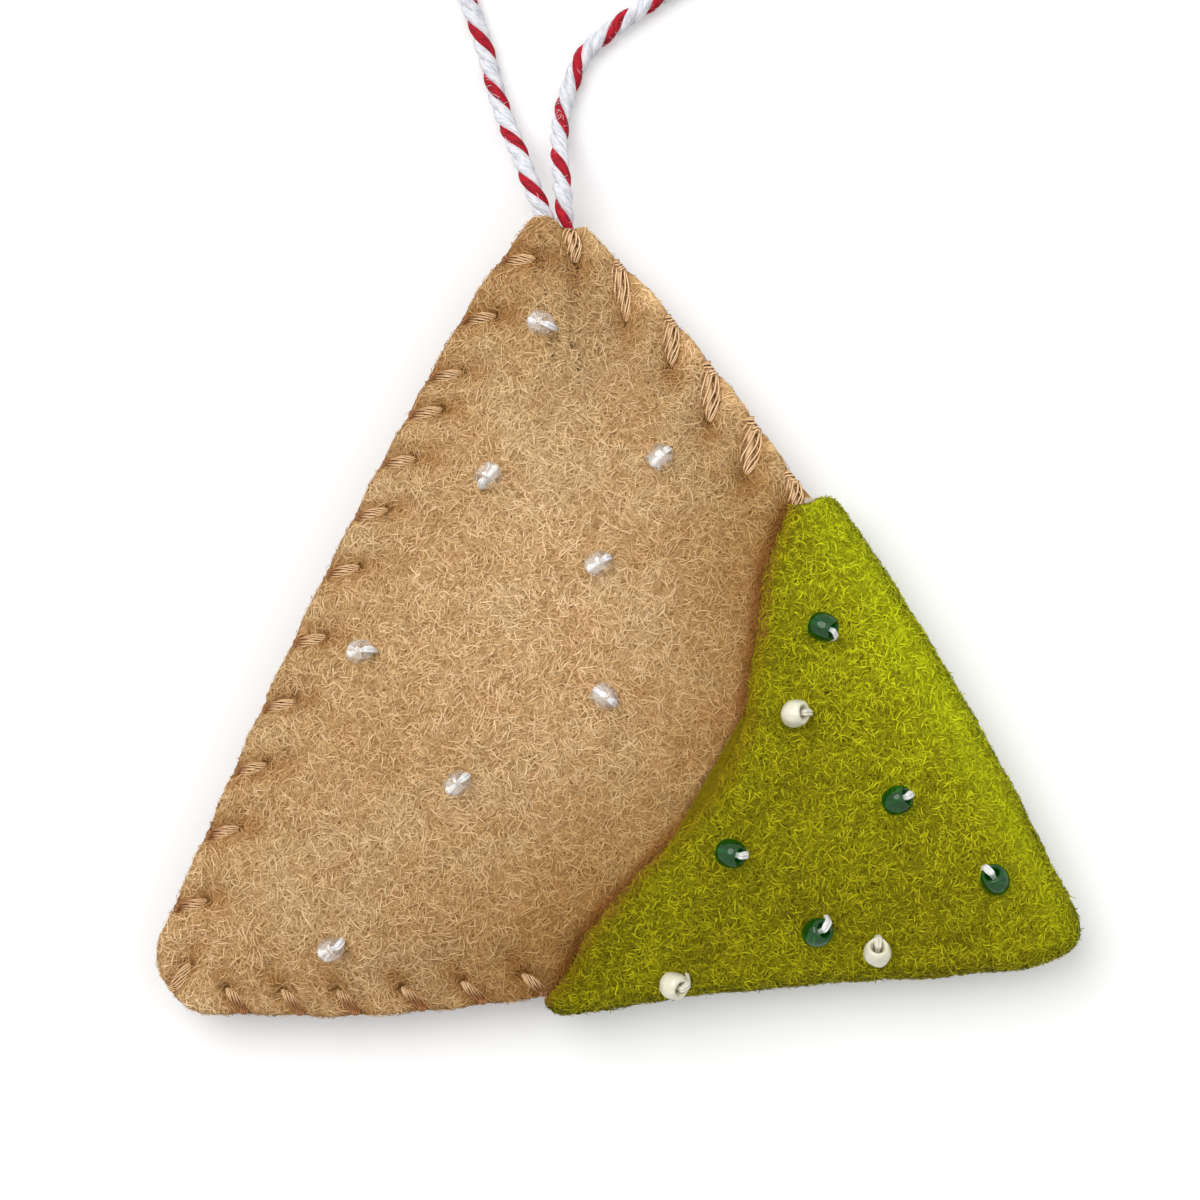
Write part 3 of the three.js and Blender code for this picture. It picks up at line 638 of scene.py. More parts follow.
@dataclass(frozen=True)
class SpunFibres:
    """The fine lines along a thread or a ply, which follow the piece's own UV map."""

    around: float
    turns: float
    span: Span = (0.3, 0.6)
    detail: float = 2
    roughness: float = 0.6
    bump_strength: float = 0.5
    bump_depth: float = 0.05 * MM

    def lines(self, nodes: Nodes, where: Socket) -> Socket:
        """Adds the lines.

        Args:
            nodes: The material's nodes.
            where: The thread's UV coordinates, around in U and along in V.

        Returns:
            A value from 0 between the lines to 1 on them.
        """
        scale = (self.around, self.turns, 1)
        stretched = nodes.add("Mapping", {"Vector": where, "Scale": scale}).outputs[0]
        inputs = {"Vector": stretched, "Scale": 1.0, "Detail": self.detail, "Roughness": self.roughness}
        return nodes.step(nodes.add("TexNoise", inputs).outputs["Fac"], self.span)

    def normal(self, nodes: Nodes, lines: Socket) -> Socket:
        """Adds the normal of a surface that the lines stand out from."""
        return nodes.bump(lines, self.bump_strength, self.bump_depth)


@dataclass(frozen=True)
class ThreadFinish:
    """Spun thread: fine fibres along it, and a little sheen."""

    name: str
    slot: str
    colour: Colour
    shadow: Colour
    roughness: float
    spun: SpunFibres
    crest_share: float = 0.0
    crest_around: float = 0.25
    crest_span: Span = (0.17, 0.03)
    worn: Colour = BLACK
    shine: float = 0.5

    @cache
    def material(self) -> Material:
        """Makes the thread's finish, once for all the pieces that have it.

        Returns:
            The material.
        """
        material, nodes = new_material(self.name)
        where = nodes.add("TexCoord").outputs["UV"]
        fibres = self.spun.lines(nodes, where)
        # Painted highlight on each strand's outward crest and painted shade at its sides; the shadow
        # colour also lies between the fibre lines.
        around = nodes.add("SeparateXYZ", {"Vector": where}).outputs["X"]
        off_crest = nodes.maths("ABSOLUTE", nodes.maths("SUBTRACT", around, self.crest_around))
        crest = nodes.maths("MULTIPLY", nodes.step(off_crest, self.crest_span), self.crest_share)
        rest = nodes.maths("MULTIPLY", fibres, 1 - self.crest_share)
        # The floss's painted shade darkens the light colour where the piece marks it.
        light = nodes.mix(nodes.mark("worn"), self.colour, self.worn)
        colour = nodes.mix(nodes.maths("ADD", crest, rest), self.shadow, light)
        normal = self.spun.normal(nodes, fibres)
        finish_material(nodes, colour, self.roughness, self.shine, Normal=normal)
        return material


@dataclass(frozen=True)
class TwineFinish:
    """Two white plies and a crimson one."""

    name: str = "baker_twine"
    slot: str = "striped_twine"
    white: Colour = (0.86, 0.86, 0.88)
    white_shadow: Colour = (0.55, 0.57, 0.66)
    crimson: Colour = (0.50, 0.004, 0.020)
    crimson_shadow: Colour = (0.17, 0.001, 0.005)
    spun: SpunFibres = SpunFibres(14, 260)
    fuzz: FuzzFinish = FuzzFinish("twine_nap", (0.62, 0.60, 0.63), (0.92, 0.91, 0.93), 0.8, 0.5)
    roughness: float = 0.7
    shine: float = 0.3

    def material(self) -> Material:
        """Makes the twine's finish, which tells the plies apart by the piece's own values.

        Returns:
            The material.
        """
        material, nodes = new_material(self.name)
        fibres = self.spun.lines(nodes, nodes.add("TexCoord").outputs["UV"])
        white = nodes.mix(fibres, self.white_shadow, self.white)
        crimson = nodes.mix(fibres, self.crimson_shadow, self.crimson)
        colour = nodes.mix(nodes.mark("crimson"), white, crimson)
        normal = self.spun.normal(nodes, fibres)
        finish_material(nodes, colour, self.roughness, self.shine, Normal=normal)
        return material


@dataclass(frozen=True)
class GlassFinish:
    """Bead glass, clear, coloured or pearled."""

    name: str
    slot: str
    colour: Colour
    transmission: float
    roughness: float
    coat: float = 0.0
    coat_index: float = 1.5
    coat_roughness: float = 0.08
    index: float = 1.5
    shine: float = 0.5
    rim_sheen: float = 0.0
    rim_sheen_roughness: float = 0.25
    streak_size: float = 0.7 * MM
    streak_span: Span = (0.3, 0.7)
    streak_level: float = 0.9
    clear_from: float = 0.5
    lit_through: float = 0.75

    @cache
    def material(self) -> Material:
        """Makes the glass's finish, with faint streaks, once for all the pieces that have it.

        Returns:
            The material.
        """
        material, nodes = new_material(self.name)
        streaks = nodes.step(nodes.noise(self.streak_size, 2, 0.5, 0.5), self.streak_span)
        dull = tuple(self.streak_level * part for part in self.colour)
        alpha = 1.0
        if self.transmission > self.clear_from:
            shadow = nodes.add("LightPath").outputs["Is Shadow Ray"]
            alpha = nodes.maths("SUBTRACT", 1.0, nodes.maths("MULTIPLY", shadow, self.lit_through))
        # On clear glass the sheen paints a pale highlight round the rim, in place of a reflection of
        # bright surroundings.
        finish_material(
            nodes, nodes.mix(streaks, dull, self.colour), self.roughness, self.shine,
            IOR=self.index, Transmission_Weight=self.transmission, Alpha=alpha,
            Coat_Weight=self.coat, Coat_IOR=self.coat_index, Coat_Roughness=self.coat_roughness,
            Sheen_Weight=self.rim_sheen, Sheen_Roughness=self.rim_sheen_roughness,
        )
        return material


@dataclass(frozen=True)
class Finishes:
    """All the finishes of the ornament."""

    tan: FeltFinish = FeltFinish(
        "tan_wool", "tan_felt",
        middle=(0.775, 0.495, 0.222), warm=(0.755, 0.435, 0.182),
        deep=(0.270, 0.125, 0.033), pale=(0.870, 0.615, 0.320),
        band=(1.000, 0.690, 0.300), pinch=(0.460, 0.180, 0.026), glint=(0.970, 0.745, 0.465),
    )
    green: FeltFinish = FeltFinish(
        "green_wool", "green_felt",
        middle=(0.340, 0.307, 0.004), warm=(0.325, 0.275, 0.004),
        deep=(0.080, 0.066, 0.001), pale=(0.470, 0.455, 0.005),
        band=(0.450, 0.470, 0.005), pinch=(0.360, 0.245, 0.004), glint=(0.680, 0.650, 0.010),
    )
    fill: FeltFinish = FeltFinish(
        "soft_fibre", "filling",
        middle=(0.85, 0.83, 0.78), warm=(0.82, 0.79, 0.72),
        deep=(0.6, 0.58, 0.53), pale=(0.9, 0.89, 0.86), base_share=1.0,
    )
    # Dark brown fuzz on the green felt's edge along the dip line: real fibres, coloured as painted shade.
    dip_edge_shade: FuzzFinish = FuzzFinish("edge_nap", (0.20, 0.085, 0.012), (0.36, 0.19, 0.03), 0.9, 0.1)
    floss: ThreadFinish = ThreadFinish(
        "seam_floss", "copper_floss", (0.980, 0.660, 0.360), (0.250, 0.090, 0.018), 0.33,
        SpunFibres(4, 1500), crest_share=0.85, worn=(0.380, 0.165, 0.055), shine=0.3,
    )
    white: ThreadFinish = ThreadFinish(
        "sewing_thread", "white_thread", (0.96, 0.95, 0.94), (0.80, 0.79, 0.80), 0.5, SpunFibres(5, 20)
    )
    cream: ThreadFinish = ThreadFinish(
        "cream_thread", "white_thread", (0.86, 0.83, 0.70), (0.70, 0.66, 0.52), 0.5, SpunFibres(5, 20)
    )
    twine: TwineFinish = TwineFinish()
    clear: GlassFinish = GlassFinish(
        "clear_bead", "clear_glass", (0.99, 0.98, 0.96),
        transmission=0.88, roughness=0.03, coat=1.0, coat_index=1.9, rim_sheen=0.7,
    )
    emerald: GlassFinish = GlassFinish(
        "green_bead", "green_glass", (0.001, 0.150, 0.010), transmission=0.75, roughness=0.05, shine=0.12
    )
    pearl: GlassFinish = GlassFinish(
        "pearl_bead", "pearl_glass", (0.81, 0.77, 0.59), transmission=0.0, roughness=0.3, coat=0.5
    )
    glue: GlassFinish = GlassFinish(
        "clear_glue", "dried_glue", (0.80, 0.68, 0.48), transmission=0.35, roughness=0.35
    )


# The chip's form


@dataclass
class Edge:
    """One side of the chip's triangle, with its bow."""

    start: Array
    end: Array
    opposite: Array
    bow: float
    lean_share: float

    def __post_init__(self) -> None:
        """Works out the side's directions."""
        self.length = float(np.linalg.norm(self.end - self.start))
        self.along = (self.end - self.start) / self.length
        self.inward = np.array([-self.along[1], self.along[0]])
        self.depth = float((self.opposite - self.start) @ self.inward)

    def reach(self, points: Array) -> Array:
        """How far points lie inside the straight side."""
        return (points - self.start) @ self.inward

    def bow_at(self, points: Array) -> Array:
        """How far the bow moves points outward, fading towards the opposite corner.

        Args:
            points: The points.

        Returns:
            The moves, one for each point.
        """
        share = np.clip((points - self.start) @ self.along / self.length, 0, 1)
        inner = np.clip(self.reach(points) / self.depth, 0, 1)
        lean = 1 + self.lean_share * (1 - 2 * share)
        return self.bow * 4 * share * (1 - share) * lean * (1 - inner) ** 2


@dataclass
class ChipForm:
    """The pillow's outline and heights, as the CAD model has them."""

    width: float = 77.3 * MM
    height: float = 67.4 * MM
    hanging_across_share: float = 0.441
    right_up_share: float = 0.073
    origin_shares: tuple[float, float] = (0.518, 0.4748)
    bows: tuple[float, float, float] = (2.2 * MM, 1.3 * MM, 3.2 * MM)
    lean_shares: tuple[float, float, float] = (0.3, 1.5, -0.3)
    corner_radii: tuple[float, float, float] = (3.2 * MM, 3.9 * MM, 3.0 * MM)
    felt: float = 1.1 * MM
    layer_gap: float = 0.3 * MM
    seam_height: float = 4.0 * MM
    crown: float = 4.3 * MM
    flat_cut: float = 0.5 * MM
    flange: float = 3.0 * MM
    fill_shape: float = 0.6
    fill_foot: float = 0.02
    apex_x: float = -5.53 * MM
    apex_pinch_share: float = 0.22
    apex_pinch_height: float = 3.4 * MM
    apex_top: float = 32.3 * MM
    apex_fall: float = 0.7 * MM
    apex_fall_from: float = 0.4 * MM
    apex_fall_to: float = 1.2 * MM
    rim_trims: tuple[tuple[float, float, float, float], ...] = (
        (-18.0, -32.0, 0.42, 10.0), (8.0, -31.0, -0.32, 6.0),
        (26.0, -29.0, 0.3, 5.0), (35.0, -20.5, -0.4, 6.0),
    )
    twine_half: float = 1.2 * MM
    twine_spread: float = 2.8 * MM
    tail_x: float = -5.45 * MM
    knot_y: float = 20.5 * MM
    dip_gap: float = 0.5 * MM
    dip_ramp: float = 5.0 * MM
    dip_ramp_start: float = 1.0 * MM
    dip_line_shares: tuple[tuple[float, float], ...] = (
        (0.694, 0.606), (0.680, 0.563), (0.668, 0.524), (0.662, 0.478), (0.657, 0.432), (0.650, 0.385),
        (0.645, 0.339), (0.624, 0.286), (0.596, 0.240), (0.568, 0.205), (0.542, 0.173), (0.520, 0.144),
        (0.497, 0.115), (0.480, 0.086), (0.467, 0.057), (0.453, 0.028),
    )
    arc_steps: int = 32
    rim_steps: int = 1200
    dip_steps: int = 14
    way_step: float = 0.002
    batch: int = 20000

    def __post_init__(self) -> None:
        """Works out the sides, the outline and the dip line."""
        hanging = self.on_chip(self.hanging_across_share, 1)
        corners = [hanging, self.on_chip(0, 0), self.on_chip(1, self.right_up_share)]
        self.corners = corners
        self.edges = [
            Edge(corners[i], corners[(i + 1) % 3], corners[(i + 2) % 3], self.bows[i], self.lean_shares[i])
            for i in range(3)
        ]
        lengths = np.array([edge.length for edge in self.edges])
        weighed = corners[0] * lengths[1] + corners[1] * lengths[2] + corners[2] * lengths[0]
        self.middle = weighed / lengths.sum()
        self.inner_radius = float(self.edges[0].reach(self.middle))
        self.rim_points = self.outline()
        steps = np.linalg.norm(np.diff(self.rim_points, axis=0), axis=1)
        self.rim_shares = np.concatenate([[0], np.cumsum(steps)]) / steps.sum()
        self.rim_length = float(steps.sum())
        self.full_product = float(self.reach_product(sum(corners)[None, :] / 3)[0])
        dip_points = [self.on_chip(*shares) for shares in self.dip_line_shares]
        self.dip_line = smooth_route(dip_points, self.dip_steps)

    def on_chip(self, across: float, up: float) -> Array:
        """The place at shares of the chip's width and height."""
        origin = self.origin_shares
        return np.array([(across - origin[0]) * self.width, (up - origin[1]) * self.height])

    def outline(self) -> Array:
        """Works out the rim: rounded corners, bowed sides, the pinched tip and the small trims.

        Returns:
            The rim's points, anticlockwise from the middle of the hanging corner.
        """
        arcs = []
        for index, corner in enumerate(self.corners):
            before, after = self.edges[index - 1], self.edges[index]
            inward = unit(after.along - before.along)
            radius = self.corner_radii[index]
            centre = corner + inward * radius / math.sin(math.acos(float(inward @ after.along)))
            start = math.atan2(-before.inward[1], -before.inward[0])
            sweep = (math.atan2(-after.inward[1], -after.inward[0]) - start) % TURN
            angles = start + sweep * np.linspace(0, 1, self.arc_steps + 1)
            arcs.append(centre + radius * np.column_stack([np.cos(angles), np.sin(angles)]))
        half = len(arcs[0]) // 2
        path = np.vstack([arcs[0][half:], arcs[1], arcs[2], arcs[0][: half + 1]])
        path = even_route(path, self.rim_steps)
        moves = [-edge.inward * edge.bow_at(path)[:, None] for edge in self.edges]
        path = path + sum(moves)
        below = path[:, 1].max() - path[:, 1]
        pinch = self.apex_pinch_share * bell(below, self.apex_pinch_height)
        path[:, 0] -= pinch * (path[:, 0] - self.apex_x)
        start, end = self.apex_x - self.apex_fall_from, self.apex_x + self.apex_fall_to
        top = self.apex_top - self.apex_fall * smooth_step(path[:, 0], start, end)
        path[:, 1] = np.minimum(path[:, 1], top)
        way = unit(np.gradient(path, axis=0))
        outward = np.column_stack([way[:, 1], -way[:, 0]])
        for across, up, move, width in np.array(self.rim_trims) * MM:
            off = np.hypot(path[:, 0] - across, path[:, 1] - up)
            path = path + outward * (move * bell(off, width))[:, None]
        return path

    def rim_at(self, shares: Array) -> Array:
        """The rim's points at shares of its length."""
        wrapped = np.mod(shares, 1)
        places = [np.interp(wrapped, self.rim_shares, values) for values in self.rim_points.T]
        return np.column_stack(places)

    def share_near(self, points: Array) -> Array:
        """The shares of the rim's length that lie nearest to points."""
        off = np.linalg.norm(self.rim_points[None, :, :] - points[:, None, :], axis=2)
        return self.rim_shares[np.argmin(off, axis=1)]

    def rim_way(self, shares: Array) -> Array:
        """The rim's direction at shares of its length, anticlockwise."""
        shares = np.asarray(shares)
        return unit(self.rim_at(shares + self.way_step) - self.rim_at(shares - self.way_step))

    def inset(self, shares: Array, depths: Array) -> Array:
        """Moves points in from the rim: square to it near it, towards the middle further in.

        Args:
            shares: Where on the rim the points start, as shares of its length.
            depths: How far they move in.

        Returns:
            The moved points.
        """
        edge, way = self.rim_at(shares), self.rim_way(shares)
        square = np.column_stack([-way[:, 1], way[:, 0]])
        central = (self.middle - edge) / self.inner_radius
        blend = smooth_step(depths, self.flange, 3 * self.flange)[:, None]
        return edge + np.asarray(depths)[:, None] * (square * (1 - blend) + central * blend)

    def reach_product(self, points: Array) -> Array:
        """Multiplies the reaches inside the three sides, each eased in over the flange.

        Args:
            points: The points.

        Returns:
            The product at each point.
        """
        product = np.ones(len(points))
        for edge in self.edges:
            reach = np.maximum(edge.reach(points) + edge.bow_at(points), 0)
            product = product * reach**2 / (reach + self.flange)
        return product

    def fullness(self, points: Array) -> Array:
        """How full the pillow is at points.

        Args:
            points: The points.

        Returns:
            The fullness, 0 at the flange and 1 in the middle.
        """
        product = np.minimum(self.reach_product(points) / self.full_product, 1)
        foot, top = self.fill_foot**self.fill_shape, (1 + self.fill_foot) ** self.fill_shape
        return ((product + self.fill_foot) ** self.fill_shape - foot) / (top - foot)

    def half_gap(self, points: Array) -> Array:
        """Half the gap between the layers, wider where the twine's ends lie."""
        off = np.hypot(points[:, 0] - self.tail_x, points[:, 1] - np.maximum(points[:, 1], self.knot_y))
        return self.layer_gap / 2 + (self.twine_half - self.layer_gap / 2) * bell(off, self.twine_spread)

    def right_reach(self, points: Array) -> Array:
        """The distance inside the bowed right side."""
        return self.edges[2].reach(points) + self.edges[2].bow_at(points)

    def dip_reach(self, points: Array) -> Array:
        """Measures how far points lie from the dip line, a batch at a time.

        Args:
            points: The points.

        Returns:
            The distances, positive on the dipped side.
        """
        reach = np.empty(len(points))
        for start in range(0, len(points), self.batch):
            some = points[start : start + self.batch]
            offsets = some[:, None, :] - self.dip_line[None, :, :]
            nearest = np.clip(np.argmin((offsets**2).sum(2), axis=1), 1, len(self.dip_line) - 1)
            along = self.dip_line[nearest] - self.dip_line[nearest - 1]
            offset = some - self.dip_line[nearest]
            side = np.sign(along[:, 0] * offset[:, 1] - along[:, 1] * offset[:, 0])
            reach[start : start + self.batch] = side * np.linalg.norm(offset, axis=1)
        return reach

    def floor(self, points: Array) -> Array:
        """The height at which the back panel lies, higher on the green felt's back flap."""
        start, end = -self.dip_ramp_start - self.dip_ramp, -self.dip_ramp_start
        return (self.dip_gap + self.felt) * smooth_step(self.dip_reach(points), start, end)

    def inner(self, points: Array, side: Side) -> Array:
        """Works out the height of a panel's inner face.

        Args:
            points: Places on the panel.
            side: The panel.

        Returns:
            The heights.
        """
        if side is Side.FRONT:
            return self.seam_height + self.half_gap(points) + self.crown * self.fullness(points)
        crown = self.seam_height - self.layer_gap / 2 - self.felt + self.flat_cut
        dome = self.seam_height - self.half_gap(points) - crown * self.fullness(points)
        return np.maximum(dome, self.floor(points) + self.felt - self.flat_cut)

    def outer(self, points: Array, side: Side) -> Array:
        """Works out the height of a panel's outer face.

        Args:
            points: Places on the panel.
            side: The panel.

        Returns:
            The heights.
        """
        if side is Side.FRONT:
            return self.inner(points, side) + self.felt
        return np.maximum(self.inner(points, side) - self.felt, self.floor(points))


def wobble(points: Array, size: float, seed: float) -> Array:
    """Smooth noise from about -1 to 1.

    Args:
        points: The places, in the plane or in space.
        size: About how big the noise's lumps are.
        seed: Picks one of many noises.

    Returns:
        The noise at each place.
    """
    scaled = (points / size).tolist()
    if points.shape[1] == 2:
        return np.array([noise.noise((x, y, seed)) for x, y in scaled])
    return np.array([noise.noise((x, y, z + seed)) for x, y, z in scaled])


# The seam


@dataclass
class WhipSeam:
    """The floss that is whip-stitched round the rim, in at each hole and over the edge."""

    form: ChipForm
    left_shares: tuple[float, ...] = (
        0.022, 0.049, 0.074, 0.09, 0.111, 0.133, 0.157, 0.186, 0.213, 0.239, 0.265, 0.295,
    )
    bottom_shares: tuple[float, ...] = (0.329, 0.36, 0.381, 0.402, 0.427, 0.45, 0.473)
    right_stitches: tuple[tuple[float, float, float, float], ...] = (
        (14.3, 8.4, 13.9, 11.2), (10.2, 11.5, 10.8, 15.3), (7.2, 15.8, 7.35, 19.95),
        (4.1, 20.4, 4.15, 23.9), (0.4, 23.9, -0.1, 28.4), (-3.7, 28.7, -4.25, 31.6),
    )
    right_wides: tuple[float, ...] = (0.85, 0.98, 0.9, 0.78, 0.7, 0.8)
    hidden: int = 15
    left_inset: float = 2.25 * MM
    corner_inset: float = 2.5 * MM
    bottom_inset: float = 2.15 * MM
    lean: float = 1.45 * MM
    pull: float = 0.12 * MM
    right_pull: float = 0.32 * MM
    pull_width: float = 0.72 * MM
    valley: float = 0.55 * MM
    valley_width: float = 1.9 * MM
    valley_reach: float = 1.3 * MM
    groove: float = 0.32 * MM
    groove_width: float = 0.7 * MM
    pit: float = 0.6 * MM
    pit_width: float = 0.55 * MM
    near_share: float = 0.6
    tuck: float = 0.12 * MM
    right_tuck: float = 0.03 * MM
    shoulder_share: float = 1.3
    lift_share: float = 1.1
    sunk_share: float = 0.35
    bundle_wide: float = 0.42 * MM
    bundle_thick: float = 0.15 * MM
    bundle_tight: float = 0.13 * MM
    core_share: float = 0.45
    core_sides: int = 10
    strand: float = 0.08 * MM
    strand_sides: int = 7
    strands: int = 10
    twist: float = 1.2
    looseness: float = 0.08 * MM
    loose_size: float = 1.3 * MM
    loose_across: float = 0.6
    loose_out: float = 0.4
    steps: int = 6
    # How the floss's painted shade fades in from the rim.
    shade_least: float = 0.05
    shade_most: float = 0.9
    shade_from: float = 1.75 * MM
    shade_to: float = 0.9 * MM
    right_from: float = 7 * MM
    right_to: float = 4 * MM

    def __post_init__(self) -> None:
        """Works out the holes and the points where the floss crosses the rim."""
        chosen = np.array(self.right_stitches) * MM
        right_rims = self.form.share_near(chosen[:, 2:])
        last, first = self.bottom_shares[-1], right_rims[0]
        under = [last + (first - last) * (index + 1) / (self.hidden + 1) for index in range(self.hidden)]
        shares = np.array([*self.left_shares, *self.bottom_shares, *under])
        insets = np.full(len(shares), self.bottom_inset)
        insets[: len(self.left_shares)] = self.left_inset
        insets[len(self.left_shares)] = self.corner_inset
        half = self.lean / 2 / self.form.rim_length
        self.holes = np.vstack([self.form.inset(shares - half, insets), chosen[:, :2]])
        self.rim_shares = np.concatenate([shares + half, right_rims])
        self.rims = self.form.rim_at(self.rim_shares)
        self.count = len(self.holes)
        right = np.arange(self.count) >= len(shares)
        self.pulls = np.where(right, self.right_pull, self.pull)
        self.tucks = np.where(right, self.right_tuck, self.tuck)
        self.wides = np.full(self.count, self.bundle_wide)
        self.wides[right] = np.array(self.right_wides) * MM

    def lines(self, side: Side) -> tuple[Array, Array]:
        """Finds the floss's straight lines on one face.

        Args:
            side: The face.

        Returns:
            The hole and the rim point that each line joins, on the back one hole on.
        """
        if side is Side.FRONT:
            return self.holes, self.rims
        return np.roll(self.holes, -1, axis=0), self.rims

    def dent(self, points: Array, side: Side) -> tuple[Array, Array, Array]:
        """How the drawn floss shapes the felt.

        Args:
            points: Places on the panel.
            side: The panel.

        Returns:
            How deep each place is sunk, how far it is drawn in from the rim, and how near it
            is to the floss, from 0 to 1.
        """
        valley, groove, drawn, near = (np.zeros(len(points)) for _ in range(4))
        for hole, rim, pull in zip(*self.lines(side), self.pulls):
            line = rim - hole
            length = np.linalg.norm(line)
            offset = points - hole
            along = offset @ line / length**2
            inward = np.clip(along, -self.valley_reach / length, 2)
            inner = np.linalg.norm(offset - inward[:, None] * line, axis=1)
            across = np.linalg.norm(offset - np.clip(along, 0, 2)[:, None] * line, axis=1)
            pit = bell(np.linalg.norm(offset, axis=1), self.pit_width)
            hollow = np.maximum(self.groove * bell(across, self.groove_width), self.pit * pit)
            valley = np.maximum(valley, bell(inner, self.valley_width))
            groove = np.maximum(groove, hollow)
            drawn = np.maximum(drawn, pull * bell(across, self.pull_width))
            beside = self.near_share * bell(inner, self.near_share * self.valley_width)
            near = np.maximum(near, np.maximum(beside, pit))
        return self.valley * valley + groove, drawn, near

    def surface(self, points: Array, side: Side) -> Array:
        """The height of a panel's outer face with its dents."""
        return self.form.outer(points, side) - side.value * self.dent(points, side)[0]

    def stitch_keys(self, index: int) -> list[tuple[Array, float, float]]:
        """Lists one stitch's key points, from its hole over the edge to the next hole behind.

        Args:
            index: The stitch.

        Returns:
            For each key point its place in the plane, its level, which is 1 on the front felt,
            -1 on the back felt and between them in the seam, and how wide the bundle is spread
            there, from 0 in the felt to 1 over it.
        """
        way = self.form.rim_way(self.rim_shares[index : index + 1])[0]
        outward = np.array([way[1], -way[0]])
        hole, rim, after = self.holes[index], self.rims[index], self.holes[(index + 1) % self.count]
        edge = rim - outward * (self.pulls[index] + self.tucks[index])
        shoulder = edge - outward * self.shoulder_share * (self.bundle_thick + self.strand)
        return [
            (hole, 0, 0.0),
            (hole, 1, 0.1),
            (0.72 * hole + 0.28 * shoulder, 1, 0.75),
            (0.4 * hole + 0.6 * shoulder, 1, 1.0),
            (shoulder, 1, 0.8),
            (edge, 0.5, 0.5),
            (edge, -0.5, 0.5),
            (shoulder, -1, 0.8),
            (0.45 * after + 0.55 * shoulder, -1, 1.0),
            (0.75 * after + 0.25 * shoulder, -1, 0.7),
            (after, -1, 0.1),
        ]

    def stations(self) -> tuple[Array, Array, Array]:
        """Works out the floss's middle line, key point by key point.

        Returns:
            The points, the rim's direction at each, and how wide the bundle is spread there:
            from 0 in the felt to 1 over it, and the half width that this stands for.
        """
        points, ways, spreads = [], [], []
        rise = self.bundle_thick + self.strand
        for index in range(self.count):
            way = self.form.rim_way(self.rim_shares[index : index + 1])[0]
            for place, level, spread in self.stitch_keys(index):
                if abs(level) == 1:
                    lift = rise * (self.lift_share * spread - self.sunk_share)
                    height = float(self.surface(place[None, :], Side(level))[0]) + level * lift
                else:
                    height = self.form.seam_height + 2 * level * (self.form.felt - rise)
                points.append([*place, height])
                ways.append([*way, 0])
                spreads.append([spread, self.wides[index]])
        return np.array(points), np.array(ways), np.array(spreads)

    def build(self, finish: ThreadFinish) -> None:
        """Builds the floss as strands that wind round each other along the seam.

        Args:
            finish: The floss's finish.
        """
        points, ways, spreads = self.stations()
        route = smooth_route(points, self.steps)
        spread, widest = np.split(smooth_route(spreads, self.steps), 2, axis=1)
        spread = np.clip(spread, 0, 1)
        along = unit(np.gradient(route, axis=0))
        across = smooth_route(ways, self.steps)
        across = unit(across - (across * along).sum(1, keepdims=True) * along)
        out = np.cross(along, across)
        wide = self.bundle_tight + (widest - self.bundle_tight) * spread
        thick = self.bundle_tight + (self.bundle_thick - self.bundle_tight) * spread
        strand = self.strand * np.sqrt(widest / self.bundle_wide)
        stitch_steps = len(points) // self.count * self.steps
        turn = TURN * self.twist * np.arange(len(route)) / stitch_steps
        core_across, core_out = across * wide * self.core_share, out * thick * self.core_share
        strands = [tube(route, core_across, core_out, self.core_sides)]
        for index in range(self.strands):
            angle = (turn + TURN * index / self.strands)[:, None]
            line = route + across * wide * np.cos(angle) + out * thick * np.sin(angle)
            stray = wobble(route, self.loose_size, 3.7 * index)[:, None]
            way = self.loose_across * across + self.loose_out * out
            line = line + self.looseness * stray * spread * way
            strands.append(tube(line, across * strand, out * strand, self.strand_sides))
        floss = make_piece(
            "whip_stitched_floss", joined(strands), finish.material(), ["edge_floss"]
        )
        # Painted shade on the floss, darkest near the rim, none on the right side.
        mark(floss, "worn", self.floss_shade(points_of(floss)[:, :2]))

    def floss_shade(self, points: Array) -> Array:
        """How dark the floss's painted shade is: most near the rim, and none on the right side.

        Args:
            points: Places on the floss.

        Returns:
            The painted shade at each place, from 0 to 1.
        """
        depth = np.minimum(*(edge.reach(points) + edge.bow_at(points) for edge in self.form.edges[:2]))
        on_right = smooth_step(self.form.right_reach(points), self.right_from, self.right_to)
        outer = smooth_step(depth, self.shade_from, self.shade_to)
        return (1 - on_right) * (self.shade_least + self.shade_most * outer)


# The felt


def rounded_drop(depth: Array, radius: float) -> Array:
    """How far a face with a rounded edge falls below its full height.

    Args:
        depth: The distances in from the edge.
        radius: The edge's radius.

    Returns:
        The falls, from the radius at the edge to 0 at that distance in.
    """
    bend = np.clip(1 - depth / radius, 0, 1)
    return radius * (1 - np.sqrt(np.maximum(1 - bend**2, 0)))


